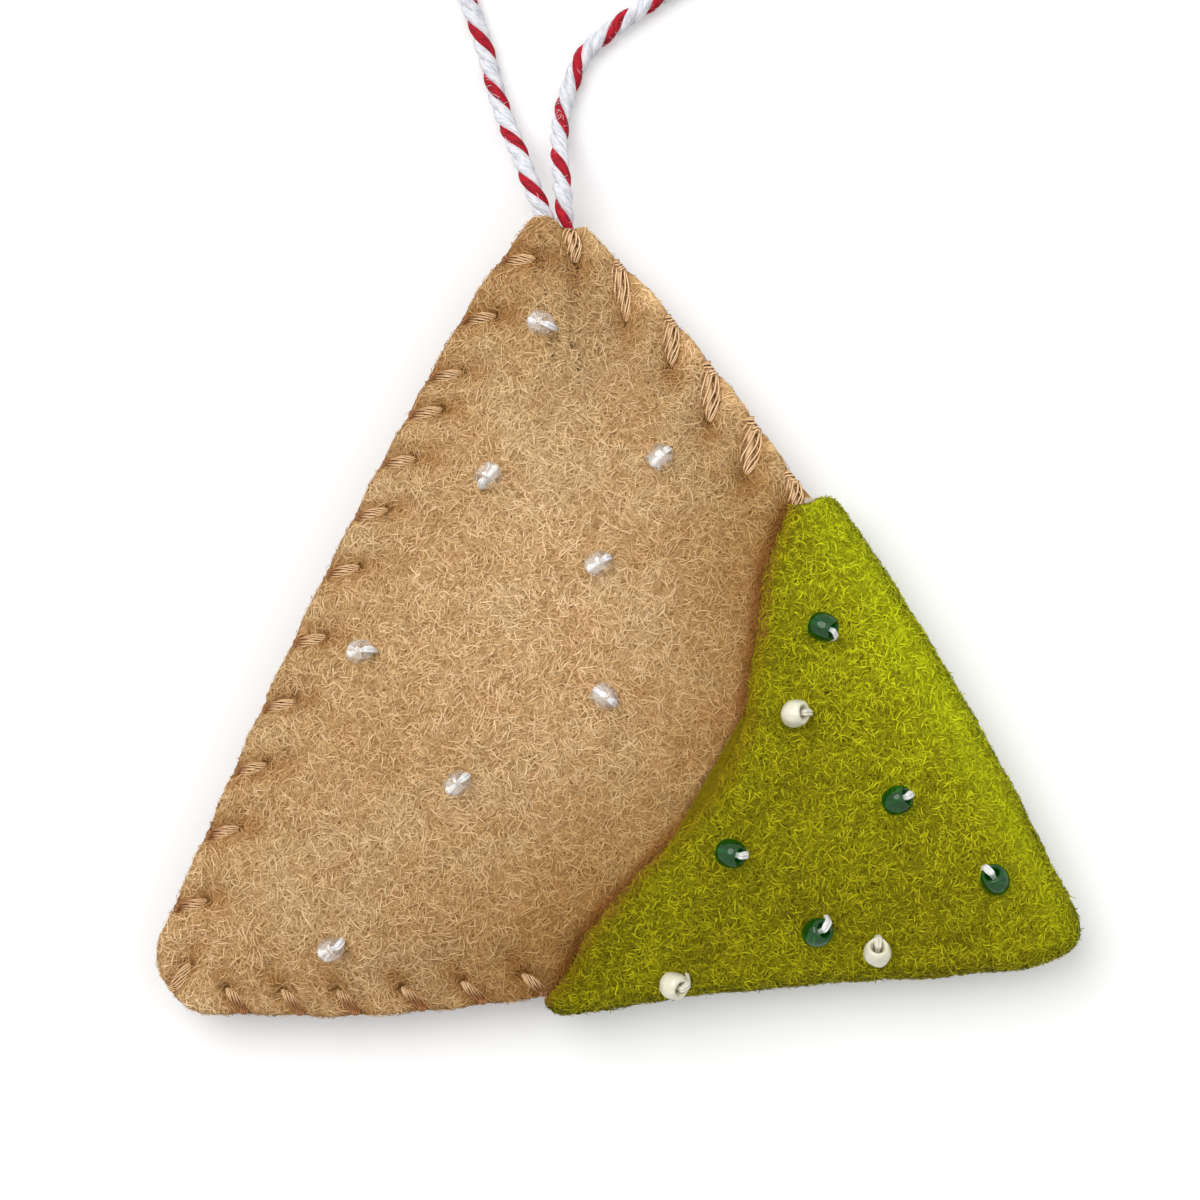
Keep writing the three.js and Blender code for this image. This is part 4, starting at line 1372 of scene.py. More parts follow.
@dataclass
class FeltPanel:
    """One of the two tan panels: a thick sheet, crowned by the filling and drawn in by the floss."""

    form: ChipForm
    seam: WhipSeam
    side: Side
    columns: int = 600
    rows: int = 48
    crowding: float = 1.8
    rim_width: float = 1.2 * MM
    edge_round: float = 0.5 * MM
    inner_round: float = 0.3
    outline_wobble: float = 0.1 * MM
    outline_lumps: float = 3.5 * MM
    face_wobble: float = 0.14 * MM
    small_lumps: float = 2.6 * MM
    large_lumps: float = 6.5 * MM
    large_share: float = 0.8
    thinnest: float = 0.1 * MM
    area_share: float = 0.53
    hole_shade_width: float = 0.5 * MM
    rim_highlight_width: float = 1.25 * MM
    dip_shade_from: float = 0.3 * MM
    dip_shade_width: float = 0.65 * MM
    bright_middle: tuple[float, float] = (-6.3 * MM, -0.5 * MM)
    bright_level: float = 0.75
    bright_width: float = 14 * MM
    corner_level: float = 0.7
    corner_width: float = 11 * MM
    right_level: float = 1.3
    right_width: float = 2.0 * MM
    dim_level: float = 0.25
    dim_top_from: float = 17 * MM
    dim_top_to: float = 28 * MM
    dim_dip_level: float = 1.0
    dim_dip_width: float = 8 * MM

    def place(self, around: Array, through: Array) -> Array:
        """Places the panel's points, from the outer face's middle over the rim to the inner face's.

        Args:
            around: Shares of the way round the rim.
            through: Shares of the way from the outer face's middle to the inner face's.

        Returns:
            The points.
        """
        outer = through <= 0.5
        share = np.abs(2 * through - 1)
        depth = self.form.inner_radius * share**self.crowding
        flat = self.form.inset(around, depth)
        sunk, drawn, _ = self.seam.dent(flat, self.side)
        edge, way = self.form.rim_at(around), self.form.rim_way(around)
        inward = np.column_stack([-way[:, 1], way[:, 0]])
        near = bell(depth, self.rim_width)
        rough = self.outline_wobble * wobble(edge, self.outline_lumps, 3.0 * self.side.value)
        flat = flat + inward * (near * (drawn + rough))[:, None]
        drop = rounded_drop(depth, self.edge_round)
        up = self.side.value
        face = self.form.outer(flat, self.side) - up * (sunk + drop)
        large = self.large_share * wobble(flat, self.large_lumps, 9.0 + up)
        lumps = wobble(flat, self.small_lumps, 7.0 + up) + large
        face = face + up * self.face_wobble * lumps * (1 - near)
        back = self.form.inner(flat, self.side) + up * self.inner_round * drop
        thick = np.maximum(up * (face - back), self.thinnest)
        return np.column_stack([flat, np.maximum(np.where(outer, back + up * thick, back), 0)])

    def build(self, material: Material) -> Piece:
        """Args:
            material: The base's finish.

        Returns:
            The panel.
        """
        name = self.side.name.lower()
        shape = shaped_grid(self.columns, 2 * self.rows, self.place)
        piece = make_piece(f"{name}_felt", shape, material, [f"{name}_felt_panel"])
        self.tint(piece)
        return piece

    def tint(self, piece: Piece) -> None:
        """Marks the painted shade near the floss, along the green felt and in the holes, the painted
        highlight along the right rim, and the painted light and shade over the face.

        Args:
            piece: The panel or the fibres on it.
        """
        flat = points_of(piece)[:, :2]
        near = self.seam.dent(flat, self.side)[2]
        right, dip = self.form.right_reach(flat), self.form.dip_reach(flat)
        # Painted shade near the floss and along the green felt's edge.
        shaded = bell(np.minimum(dip + self.dip_shade_from, 0), self.dip_shade_width)
        mark(piece, "pinch", np.maximum(near, shaded))
        # Painted shade in the holes.
        holes = self.seam.lines(self.side)[0]
        off = np.min([np.linalg.norm(flat - hole, axis=1) for hole in holes], axis=0)
        mark(piece, "hole", bell(off, self.hole_shade_width))
        # Painted highlight along the right rim, away from the floss.
        mark(piece, "band", bell(right, self.rim_highlight_width) * (1 - near))
        # Painted light and shade: lighter in the middle, at the lower left corner and along the right rim;
        # a little darker overall, more so towards the top and near the dip line.
        off_middle = np.linalg.norm(flat - self.bright_middle, axis=1)
        off_corner = np.linalg.norm(flat - self.form.corners[1], axis=1)
        bright = self.bright_level * bell(off_middle, self.bright_width)
        bright = bright + self.corner_level * bell(off_corner, self.corner_width)
        bright = bright + self.right_level * bell(right, self.right_width)
        top = smooth_step(flat[:, 1], self.dim_top_from, self.dim_top_to)
        dim = self.dim_level + self.dim_level * top + self.dim_dip_level * bell(dip, self.dim_dip_width)
        mark(piece, "lit", bright - dim)


@dataclass
class DippedCorner:
    """The green felt, folded over the lower right corner."""

    form: ChipForm
    top_rim_share: float = 0.8485
    bottom_rim_share: float = 0.4805
    end_rise: float = 0.8 * MM
    end_spread: float = 1.2 * MM
    tail_rise: float = 0.75 * MM
    end_round: float = 1.2 * MM
    end_least: float = 0.35
    lobe_width: float = 0.7 * MM
    tip: float = 1.2 * MM
    tip_spread: float = 1.4 * MM
    tip_move: float = 0.4 * MM
    tip_search: Span = (0.5, 0.8)
    tip_steps: int = 300
    columns: int = 200
    line_steps: int = 400
    face_steps: int = 44
    fold_steps: int = 14
    crowding: float = 1.3
    edge_round: float = 0.45 * MM
    end_gap: float = 0.02 * MM
    line_wobble: float = 0.18 * MM
    line_lumps: float = 2.5 * MM
    line_fade: float = 0.9 * MM
    face_wobble: float = 0.12 * MM
    face_lumps: float = 3.0 * MM
    flat_sizes: tuple[float, float] = (46 * MM, 62 * MM)
    area: float = 0.00195
    pinch_width: float = 1.1 * MM
    rim_highlight_width: float = 2.0 * MM
    lit_width: float = 7.5 * MM
    lit_from: float = -26 * MM
    lit_to: float = -4 * MM
    lit_least: float = 0.3
    lit_rise: float = 1.3

    def __post_init__(self) -> None:
        """Finds where the fold's tip is."""
        shares = np.linspace(*self.tip_search, self.tip_steps + 1)
        reach = np.linalg.norm(self.form.rim_at(shares) - self.form.corners[2], axis=1)
        self.tip_highlight_share = float(shares[np.argmin(reach)]) + self.tip_move / self.form.rim_length

    def place(self, along: Array, round_it: Array) -> Array:
        """Places the green felt's points.

        Args:
            along: Shares of the way along the dip line.
            round_it: Shares of the way round the felt's section, from the line in front over
                the fold to the line behind, and back on the felt's inside.

        Returns:
            The points.
        """
        outside = round_it < 0.5
        travel = np.where(outside, 2 * round_it, 2 * (1 - round_it))
        fold_share = self.fold_steps / (2 * self.face_steps + self.fold_steps)
        face_share = (1 - fold_share) / 2
        front = travel < face_share
        back = travel > 1 - face_share
        part = np.where(front, 1 - travel / face_share, np.where(back, 1 - (1 - travel) / face_share, 0.0))
        part = part**self.crowding
        rim_share = self.top_rim_share + (self.bottom_rim_share - self.top_rim_share) * along
        rim, way = self.form.rim_at(rim_share), self.form.rim_way(rim_share)
        outward = np.column_stack([way[:, 1], -way[:, 0]])
        line = even_route(self.form.dip_line, self.line_steps)
        start = line[np.rint(along * self.line_steps).astype(int)]
        flat = rim + (start - rim) * part[:, None]
        length = np.linalg.norm(start - rim, axis=1)
        from_line = (1 - part) * length
        from_end = np.minimum(along, 1 - along) * route_length(self.form.dip_line)
        drop = rounded_drop(np.minimum(from_line, from_end + self.end_gap), self.edge_round)
        offset = np.where(outside, self.form.dip_gap + self.form.felt - drop, self.form.dip_gap + drop)
        ragged = self.line_wobble * wobble(start, self.line_lumps, 11.0) * bell(from_line, self.line_fade)
        flat = flat + unit(start - rim + 1e-9) * ragged[:, None]
        lumps = self.face_wobble * wobble(flat, self.face_lumps, 17.0)
        offset = offset + np.where(outside, lumps, 0)
        upper = self.form.outer(flat, Side.FRONT) + offset
        lower = self.form.outer(flat, Side.BACK) - offset
        swing = np.clip((travel - face_share) / fold_share, 0, 1)
        angle = math.pi * (0.5 - swing)
        tip = self.tip * bell((rim_share - self.tip_highlight_share) * self.form.rim_length, self.tip_spread)
        above, below = (
            (rim_share - share) * self.form.rim_length
            for share in (self.top_rim_share, self.bottom_rim_share)
        )
        end = self.end_rise * bell(above, self.end_spread) - self.tail_rise * bell(below, self.end_spread)
        lobe = np.where(front | back, bell(part * length, self.lobe_width), 1)
        start_share = np.clip(np.minimum(-above, below) / self.end_round, 0, 1)
        rounded = self.end_least + (1 - self.end_least) * np.sqrt(1 - (1 - start_share) ** 2)
        reach = (offset + tip) * rounded * np.cos(angle)
        half = self.form.layer_gap / 2 + self.form.felt + offset
        folded = self.form.seam_height + half * np.sin(angle)
        height = np.where(front, upper, np.where(back, np.maximum(lower, 0), folded))
        flat = flat + outward * np.where(front | back, 0, reach)[:, None]
        flat = flat + way * (end * lobe)[:, None]
        return np.column_stack([flat, height])

    def build(self, material: Material) -> Piece:
        """Args:
            material: The base's finish.

        Returns:
            The folded felt.
        """
        rows = 2 * (2 * self.face_steps + self.fold_steps)
        shape = shaped_grid(self.columns, rows, self.place)
        piece = make_piece("dipped_corner_felt", shape, material, ["dip_felt"])
        self.tint(piece)
        return piece

    def tint(self, piece: Piece) -> None:
        """Marks where this felt turns yellow along the dip line, its painted highlight along the right
        edge, and its painted light and shade.

        Args:
            piece: The felt or the fibres on it.
        """
        flat = points_of(piece)[:, :2]
        right = self.form.right_reach(flat)
        mark(piece, "pinch", bell(np.maximum(self.form.dip_reach(flat), 0), self.pinch_width))
        # Painted highlight along the right edge, and painted light and shade: lighter near the right edge,
        # more so towards the top, a little darker elsewhere.
        mark(piece, "band", bell(right, self.rim_highlight_width))
        rise = self.lit_least + self.lit_rise * smooth_step(flat[:, 1], self.lit_from, self.lit_to)
        mark(piece, "lit", rise * bell(right, self.lit_width) - self.lit_least)


@dataclass
class Filling:
    """The soft filling between the panels."""

    form: ChipForm
    edge: float = 6.0 * MM
    room: float = 1.0 * MM
    least: float = 0.3 * MM
    edge_share: float = 6
    lumps: float = 0.3 * MM
    lump_size: float = 3 * MM
    columns: int = 120
    rows: int = 24

    def place(self, around: Array, through: Array) -> Array:
        """Places the filling's points, from its top's middle over its edge to its bottom's.

        Args:
            around: Shares of the way round the rim.
            through: Shares of the way from the top's middle to the bottom's.

        Returns:
            The points.
        """
        share = np.abs(2 * through - 1)
        depth = self.edge + (self.form.inner_radius - self.edge) * share
        flat = self.form.inset(around, depth)
        top = self.form.inner(flat, Side.FRONT)
        bottom = self.form.inner(flat, Side.BACK)
        round_off = np.sqrt(np.clip(share * self.edge_share, 0, 1))
        half = np.maximum((top - bottom) / 2 - self.room, self.least) * round_off
        lumps = self.lumps * wobble(flat, self.lump_size, 23.0) * round_off
        height = (top + bottom) / 2 + np.where(through < 0.5, half + lumps, -half + lumps)
        return np.column_stack([flat, height])

    def build(self, material: Material) -> Piece:
        """Args:
            material: The filling's finish.

        Returns:
            The filling.
        """
        shape = shaped_grid(self.columns, 2 * self.rows, self.place)
        piece = make_piece("soft_filling", shape, material, ["filling"])
        return piece


@dataclass(frozen=True)
class Fibres:
    """Loose fibres that lie on a felt or a twine: how many, how long and how they lie."""

    count: int
    shortest: float
    longest: float
    width: float
    lift: float
    seed: int
    loose_share: float = 0.1
    heading_spread: float = 1.2
    curl: float = 0.42
    curl_spread: float = 0.3
    wave: float = 1.25
    swirl_size: float = 7 * MM
    slope_spread: float = 0.5
    lean: float = 0.3
    least_lift: float = 0.15
    sunk_share: float = 0.1
    loose_rise: float = 2.2
    loose_bend: float = 1.6
    end_width: float = 0.45
    end_share: float = 0.06
    width_span: Span = (0.7, 1.25)
    shades: Span = (0.0, 1.0)
    shade_spread: Span = (1.1, 1.3)
    segments: int = 5

    def grow(
        self,
        name: str,
        base: Piece,
        material: Material,
        slot: str,
        keep: Keep,
        body: str | None = ORNAMENT,
    ) -> Piece:
        """Lays the fibres on a piece.

        Args:
            name: The name of the fibres' own piece.
            base: The piece that they lie on.
            material: Their finish.
            slot: Not used.
            keep: Gives for the centres and normals of faces how many fibres each may hold,
                from 0 to 1.
            body: The CAD body that they ride on, or None to leave them unattached.

        Returns:
            The fibres, as one piece.
        """
        rng = np.random.default_rng(self.seed)
        spots, up = self.scatter(base, keep, rng)
        tree = search_tree(base.data)
        swirl = TURN * wobble(spots, self.swirl_size, float(self.seed))
        angle = swirl + rng.normal(0, self.heading_spread, self.count)
        slope = rng.normal(0, self.slope_spread, self.count)
        heading = np.column_stack([np.cos(angle), np.sin(angle), slope])
        stride = rng.uniform(self.shortest, self.longest, self.count) / self.segments
        phase = rng.uniform(0, TURN, self.count)
        spine, ups, ways = [], [], []
        for step in range(self.segments + 1):
            heading = unit(heading - (heading * up).sum(1, keepdims=True) * up)
            spine.append(spots)
            ups.append(up)
            ways.append(heading)
            stray = rng.normal(0, self.curl_spread * self.curl, self.count)
            turn = (self.curl * np.cos(phase + self.wave * step) + stray)[:, None]
            heading = heading * np.cos(turn) + np.cross(up, heading) * np.sin(turn)
            hits = [tree.find_nearest(point) for point in (spots + heading * stride[:, None]).tolist()]
            spots = np.array([hit[0] for hit in hits])
            up = np.array([hit[1] for hit in hits])
        shape = self.ribbons(np.array(spine), np.array(ups), np.array(ways), rng)
        piece = make_piece(name, shape, material, body=body)
        low, high = self.shades
        shade = low + (high - low) * rng.beta(*self.shade_spread, self.count)
        mark(piece, "shade", np.repeat(shade, 2 * (self.segments + 1)))
        return piece

    def scatter(
        self, base: Piece, keep: Keep, rng: np.random.Generator
    ) -> tuple[Array, Array]:
        """Picks where the fibres start, evenly over the area that keep allows.

        Args:
            base: The piece that they lie on.
            keep: Gives how many fibres each face may hold.
            rng: The random numbers.

        Returns:
            The starts, and the directions that stand out from the piece there.
        """
        faces = base.data.polygons
        areas, corners = np.empty(len(faces)), np.empty(len(faces), int)
        centres, normals = np.empty(3 * len(faces)), np.empty(3 * len(faces))
        faces.foreach_get("area", areas)
        faces.foreach_get("loop_total", corners)
        faces.foreach_get("center", centres)
        faces.foreach_get("normal", normals)
        centres, normals = centres.reshape(-1, 3), normals.reshape(-1, 3)
        # A face with more corners closes one of the piece's poles and holds no fibres.
        weights = areas * keep(centres, normals) * (corners <= 4)
        picked = rng.choice(len(faces), self.count, p=weights / weights.sum())
        jitter = rng.uniform(-0.5, 0.5, (self.count, 3)) * np.sqrt(areas[picked])[:, None]
        return centres[picked] + jitter, normals[picked]

    def ribbons(
        self, spine: Array, ups: Array, ways: Array, rng: np.random.Generator
    ) -> Shape:
        """Makes one thin ribbon along each fibre's spine, none of it below the floor.

        Args:
            spine: The spines' points, by step and fibre.
            ups: The directions that stand out from the piece there.
            ways: The directions of the spines there.
            rng: The random numbers.

        Returns:
            The ribbons.
        """
        share = (np.arange(self.segments + 1) / self.segments)[:, None]
        rise = rng.uniform(self.least_lift, 1, self.count) * self.lift
        loose = rng.random(self.count) < self.loose_share
        arch = rise * np.sin(math.pi * share) - self.sunk_share * self.lift
        open_end = rise * (self.loose_rise * share**self.loose_bend) - self.sunk_share * self.lift
        height = np.where(loose, open_end, arch)
        lean = rng.normal(0, self.lean, self.count)[None, :, None]
        across = np.cross(ups, ways) * np.cos(lean) + ups * np.sin(lean)
        bulge = np.sin(math.pi * np.clip(share, self.end_share, 1 - self.end_share))
        taper = self.end_width + (1 - self.end_width) * bulge
        half = (0.5 * self.width * taper * rng.uniform(*self.width_span, self.count))[:, :, None]
        middle = spine + ups * height[:, :, None]
        edges = np.stack([middle - across * half, middle + across * half], axis=2)
        edges[..., 2] = np.maximum(edges[..., 2], 0)
        points_each = self.segments + 1
        rows = self.count * points_each - 1

        def place(side: Array, along: Array) -> Array:
            row = np.rint(along * rows).astype(int)
            return edges[row % points_each, row // points_each, np.rint(side).astype(int)]

        strip = moved_grid(1, rows, place)
        strip.faces.ensure_lookup_table()
        links = [strip.faces[row] for row in range(self.segments, rows, points_each)]
        bmesh.ops.delete(strip, geom=links, context="FACES")
        return strip


NapLayers = tuple[tuple[str, Side, Fibres], ...]


@dataclass
class TanNap:
    """The fibres on the two tan panels, in layers from dark short ones to light long ones."""

    form: ChipForm
    seam: WhipSeam
    layers: NapLayers = (
        ("under", Side.FRONT, Fibres(
            19500, 0.5 * MM, 1.4 * MM, 0.09 * MM, 0.12 * MM, 11, loose_share=0.04, shades=(0.0, 0.75)
        )),
        ("over", Side.FRONT, Fibres(
            19500, 0.6 * MM, 1.7 * MM, 0.082 * MM, 0.22 * MM, 12, loose_share=0.04, shades=(0.05, 0.9)
        )),
        ("top", Side.FRONT, Fibres(
            19500, 0.7 * MM, 2.1 * MM, 0.072 * MM, 0.3 * MM, 13, loose_share=0.04, shades=(0.3, 1.0)
        )),
        ("behind", Side.BACK, Fibres(16000, 0.8 * MM, 2.2 * MM, 0.12 * MM, 0.18 * MM, 14)),
    )
    up_span: Span = (0.0, 0.4)
    dip_reach: float = 1.2 * MM
    rim_thinning: float = 0.75
    rim_width: float = 1.3 * MM
    seam_near: float = 0.5

    def keep(self, side: Side) -> Keep:
        """Where the fibres may lie: on the outer face, clear of the holes and the green felt.

        Args:
            side: The panel.

        Returns:
            The test for the centres and normals of faces.
        """

        def share(spots: Array, normals: Array) -> Array:
            flat = spots[:, :2]
            outward = smooth_step(side.value * normals[:, 2], *self.up_span)
            open_felt = self.form.dip_reach(flat) < self.dip_reach
            smooth_rim = 1 - self.rim_thinning * bell(self.form.right_reach(flat), self.rim_width)
            return outward * smooth_rim * open_felt * (self.seam.dent(flat, side)[2] < self.seam_near)

        return share


@dataclass
class GreenNap:
    """The fibres on the green felt, and the brown fuzz along its edge on the dip line, coloured as painted
    shade.
    """

    form: ChipForm
    layers: NapLayers = (
        ("under", Side.FRONT, Fibres(
            15000, 0.5 * MM, 1.2 * MM, 0.11 * MM, 0.16 * MM, 15, loose_share=0.04, shades=(0.0, 0.75)
        )),
        ("over", Side.FRONT, Fibres(
            16000, 0.5 * MM, 1.4 * MM, 0.095 * MM, 0.28 * MM, 16, loose_share=0.04, shades=(0.15, 1.0)
        )),
        ("behind", Side.BACK, Fibres(8000, 0.8 * MM, 2.0 * MM, 0.13 * MM, 0.18 * MM, 17)),
    )
    edging: Fibres = Fibres(2200, 0.4 * MM, 1.0 * MM, 0.08 * MM, 0.14 * MM, 18, loose_share=0.3)
    least_up: float = -0.1
    past_seam: float = 0.2 * MM
    edge_reach: float = 0.35 * MM
    edge_up: float = 0.8

    def keep(self, side: Side) -> Keep:
        """Where the fibres may lie: the outside of the green felt's front or back.

        Args:
            side: The front or the back.

        Returns:
            The test for the centres and normals of faces.
        """

        def share(spots: Array, normals: Array) -> Array:
            outward = side.value * normals[:, 2] > self.least_up
            above = side.value * (spots[:, 2] - self.form.seam_height) > -self.past_seam
            return (outward & above).astype(float)

        return share

    def on_edge(self, spots: Array, normals: Array) -> Array:
        """Where the brown fuzz may lie: the green felt's edge along the dip line, in front."""
        near_line = self.form.dip_reach(spots[:, :2]) < self.edge_reach
        in_front = spots[:, 2] > self.form.seam_height + self.form.felt
        return (near_line & in_front & (normals[:, 2] < self.edge_up)).astype(float)


# The beads


@dataclass(frozen=True)
class BeadKind:
    """One kind of bead: how big, how uneven and how tilted it is, and its finishes."""

    name: str
    glass: GlassFinish
    thread: ThreadFinish
    count: int
    diameter: float
    lumps: float
    tilt: float
    sewn_on: str


@dataclass
class SewnBead:
    """A seed bead on its CAD bead's place, and the thread that sews it down."""

    name: str
    tie: str
    kind: BeadKind
    felt: BVHTree
    camera: "PhotoCamera"
    length_share: float = 0.82
    bore: float = 0.8 * MM
    drop: float = 0.08 * MM
    cad_gap: float = 0.2 * MM
    cad_tilt: float = math.radians(25)
    seat_rounds: int = 4
    seat_reach: float = 5 * MM
    sides: int = 28
    turns: int = 48
    lump_size: float = 0.9 * MM
    strands: int = 4
    strand: float = 0.115 * MM
    strand_sides: int = 8
    strand_gap: float = 0.62
    strand_lift: float = 0.35
    fan: float = 0.17 * MM
    thread_steps: int = 6
    thread_reach: float = 0.68

    def __post_init__(self) -> None:
        """Finds the bead's centre and directions from its CAD solids."""
        points = points_of(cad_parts[self.name])
        centre = (points.min(0) + points.max(0)) / 2
        values, axes = np.linalg.eigh(np.cov((points - centre).T))
        lone = 0 if values[1] - values[0] > values[2] - values[1] else 2
        cad_bore = axes[:, lone] * np.sign(axes[2, lone])
        loop = points_of(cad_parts[self.tie])
        side = np.linalg.eigh(np.cov(loop.T))[1][:, 0]
        cad_raised = unit(np.cross(side, cad_bore))
        cad_raised = cad_raised * np.sign(cad_raised[2])
        self.side = np.cross(cad_raised, cad_bore)
        self.up = math.sin(self.cad_tilt) * cad_bore + math.cos(self.cad_tilt) * cad_raised
        self.lie = math.cos(self.cad_tilt) * cad_bore - math.sin(self.cad_tilt) * cad_raised
        cos, sin = math.cos(self.kind.tilt), math.sin(self.kind.tilt)
        self.bore_way = cos * self.lie + sin * self.up
        self.raised = cos * self.up - sin * self.lie
        self.ground = self.drop - self.kind.diameter / 2
        self.half_length = self.kind.diameter * self.length_share / 2
        offsets = points - centre
        bore = axes[:, lone]
        radius = np.linalg.norm(offsets - (offsets @ bore)[:, None] * bore, axis=1).max()
        self.centre = self.seated(centre - (radius + self.cad_gap) * self.up)

    def seated(self, foot: Array) -> Array:
        """Finds where a bead lies that is pressed a little into the felt and seen over its foot.

        Args:
            foot: The CAD bead's foot.

        Returns:
            The bead's centre.
        """
        guess = foot.copy()
        for _ in range(self.seat_rounds):
            start = Vector(guess + self.seat_reach * self.up)
            hit = self.felt.ray_cast(start, Vector(-self.up))[0]
            centre = np.array(hit) - self.ground * self.up
            guess[:2] += self.camera.seen_over(foot[:2], centre[2]) - centre[:2]
        return centre

    def build(self) -> None:
        """Builds the bead and its thread."""
        outer, inner = self.kind.diameter / 2, self.bore / 2
        ring = bmesh.new()
        bmesh.ops.create_circle(ring, segments=self.sides, radius=1)
        for vertex in ring.verts:
            angle = math.atan2(vertex.co.y, vertex.co.x)
            out, along = math.cos(angle), math.sin(angle)
            vertex.co = ((outer + inner) / 2 + out * (outer - inner) / 2, 0, along * self.half_length)
        bmesh.ops.spin(
            ring, geom=ring.verts[:] + ring.edges[:], cent=(0, 0, 0), axis=(0, 0, 1),
            angle=TURN, steps=self.turns, use_merge=True,
        )
        points = np.array([vertex.co for vertex in ring.verts])
        moves = self.kind.lumps * wobble(points, self.lump_size, 1e3 * float(self.side[0]))
        for vertex, move in zip(ring.verts, moves.tolist()):
            vertex.co *= 1 + move / outer
        face_outward(ring)
        turned = Matrix((self.raised, np.cross(self.bore_way, self.raised), self.bore_way)).transposed()
        matrix = Matrix.Translation(self.centre) @ turned.to_4x4()
        bmesh.ops.transform(ring, matrix=matrix, verts=ring.verts)
        glass = self.kind.glass
        make_piece(f"glass_{self.name}", ring, glass.material(), [self.name])
        self.build_thread()

    def thread_keys(self) -> Array:
        """Lists the thread's key points, out of the felt, through the bore and back into the felt.

        Returns:
            For each point its place along the way that the bead lies, its height over the
            bead's centre, and how far the strands are fanned there.
        """
        reach, radius = self.half_length, self.kind.diameter / 2
        cos, sin = math.cos(self.kind.tilt), math.sin(self.kind.tilt)
        bore, face = np.array([cos, sin]), np.array([sin, -cos])
        last = reach * bore + self.thread_reach * radius * face
        return np.array([
            (-0.8 * reach * cos, self.ground - 0.6 * MM, 0.5),
            (-0.9 * reach * cos, self.ground - 0.1 * MM, 0.6),
            (*(-(reach + 0.05 * MM) * bore), 0.5),
            (*(-0.5 * reach * bore), 0.45),
            (*(0.5 * reach * bore), 0.6),
            (*((reach - 0.02 * MM) * bore), 1.0),
            (*((reach + 0.04 * MM) * bore + 0.35 * radius * face), 1.2),
            (*(last + 0.03 * MM * bore), 1.1),
            (last[0] + 0.02 * MM, -0.7 * radius, 0.8),
            (last[0] - 0.05 * MM, self.ground - 0.4 * MM, 0.6),
        ])

    def build_thread(self) -> None:
        """Builds the thread's strands, side by side."""
        line = smooth_route(self.thread_keys(), self.thread_steps)
        spine = self.centre + line[:, :1] * self.lie + line[:, 1:2] * self.up
        along = unit(np.gradient(spine, axis=0))
        over = np.cross(along, self.side)
        strands = []
        for index in range(self.strands):
            spot = (index - (self.strands - 1) / 2) * self.strand_gap
            lift = self.strand_lift * math.cos(math.pi * index)
            route = spine + self.fan * line[:, 2:] * (spot * self.side + lift * over)
            strands.append(tube(route, self.strand * self.side, self.strand * over, self.strand_sides))
        thread = self.kind.thread
        make_piece(f"thread_{self.tie}", joined(strands), thread.material(), [self.tie])


@dataclass
class GlueCrumb:
    """The dried glue in the notch between the last open stitch and the green felt."""

    centre: tuple[float, float, float] = (14.95 * MM, 9.2 * MM, 4.9 * MM)
    sizes: tuple[float, float, float] = (0.9 * MM, 0.38 * MM, 0.4 * MM)
    turn: float = math.radians(12)
    lumps: float = 0.16 * MM
    lump_size: float = 0.6 * MM
    subdivisions: int = 4

    def build(self, finish: GlassFinish) -> None:
        """Builds the crumb from a displaced ball.

        Args:
            finish: The glue's finish.
        """
        ball = bmesh.new()
        bmesh.ops.create_icosphere(ball, subdivisions=self.subdivisions, radius=1)
        points = np.array([vertex.co for vertex in ball.verts])
        spots = points * self.sizes
        spots = spots + points * (self.lumps * wobble(spots, self.lump_size, 5.0))[:, None]
        for vertex, spot in zip(ball.verts, spots.tolist()):
            vertex.co = spot
        matrix = Matrix.Translation(self.centre) @ Matrix.Rotation(self.turn, 4, "Z")
        bmesh.ops.transform(ball, matrix=matrix, verts=ball.verts)
        make_piece("dried_glue", ball, finish.material(), ["glue_crumb"])


# The twine


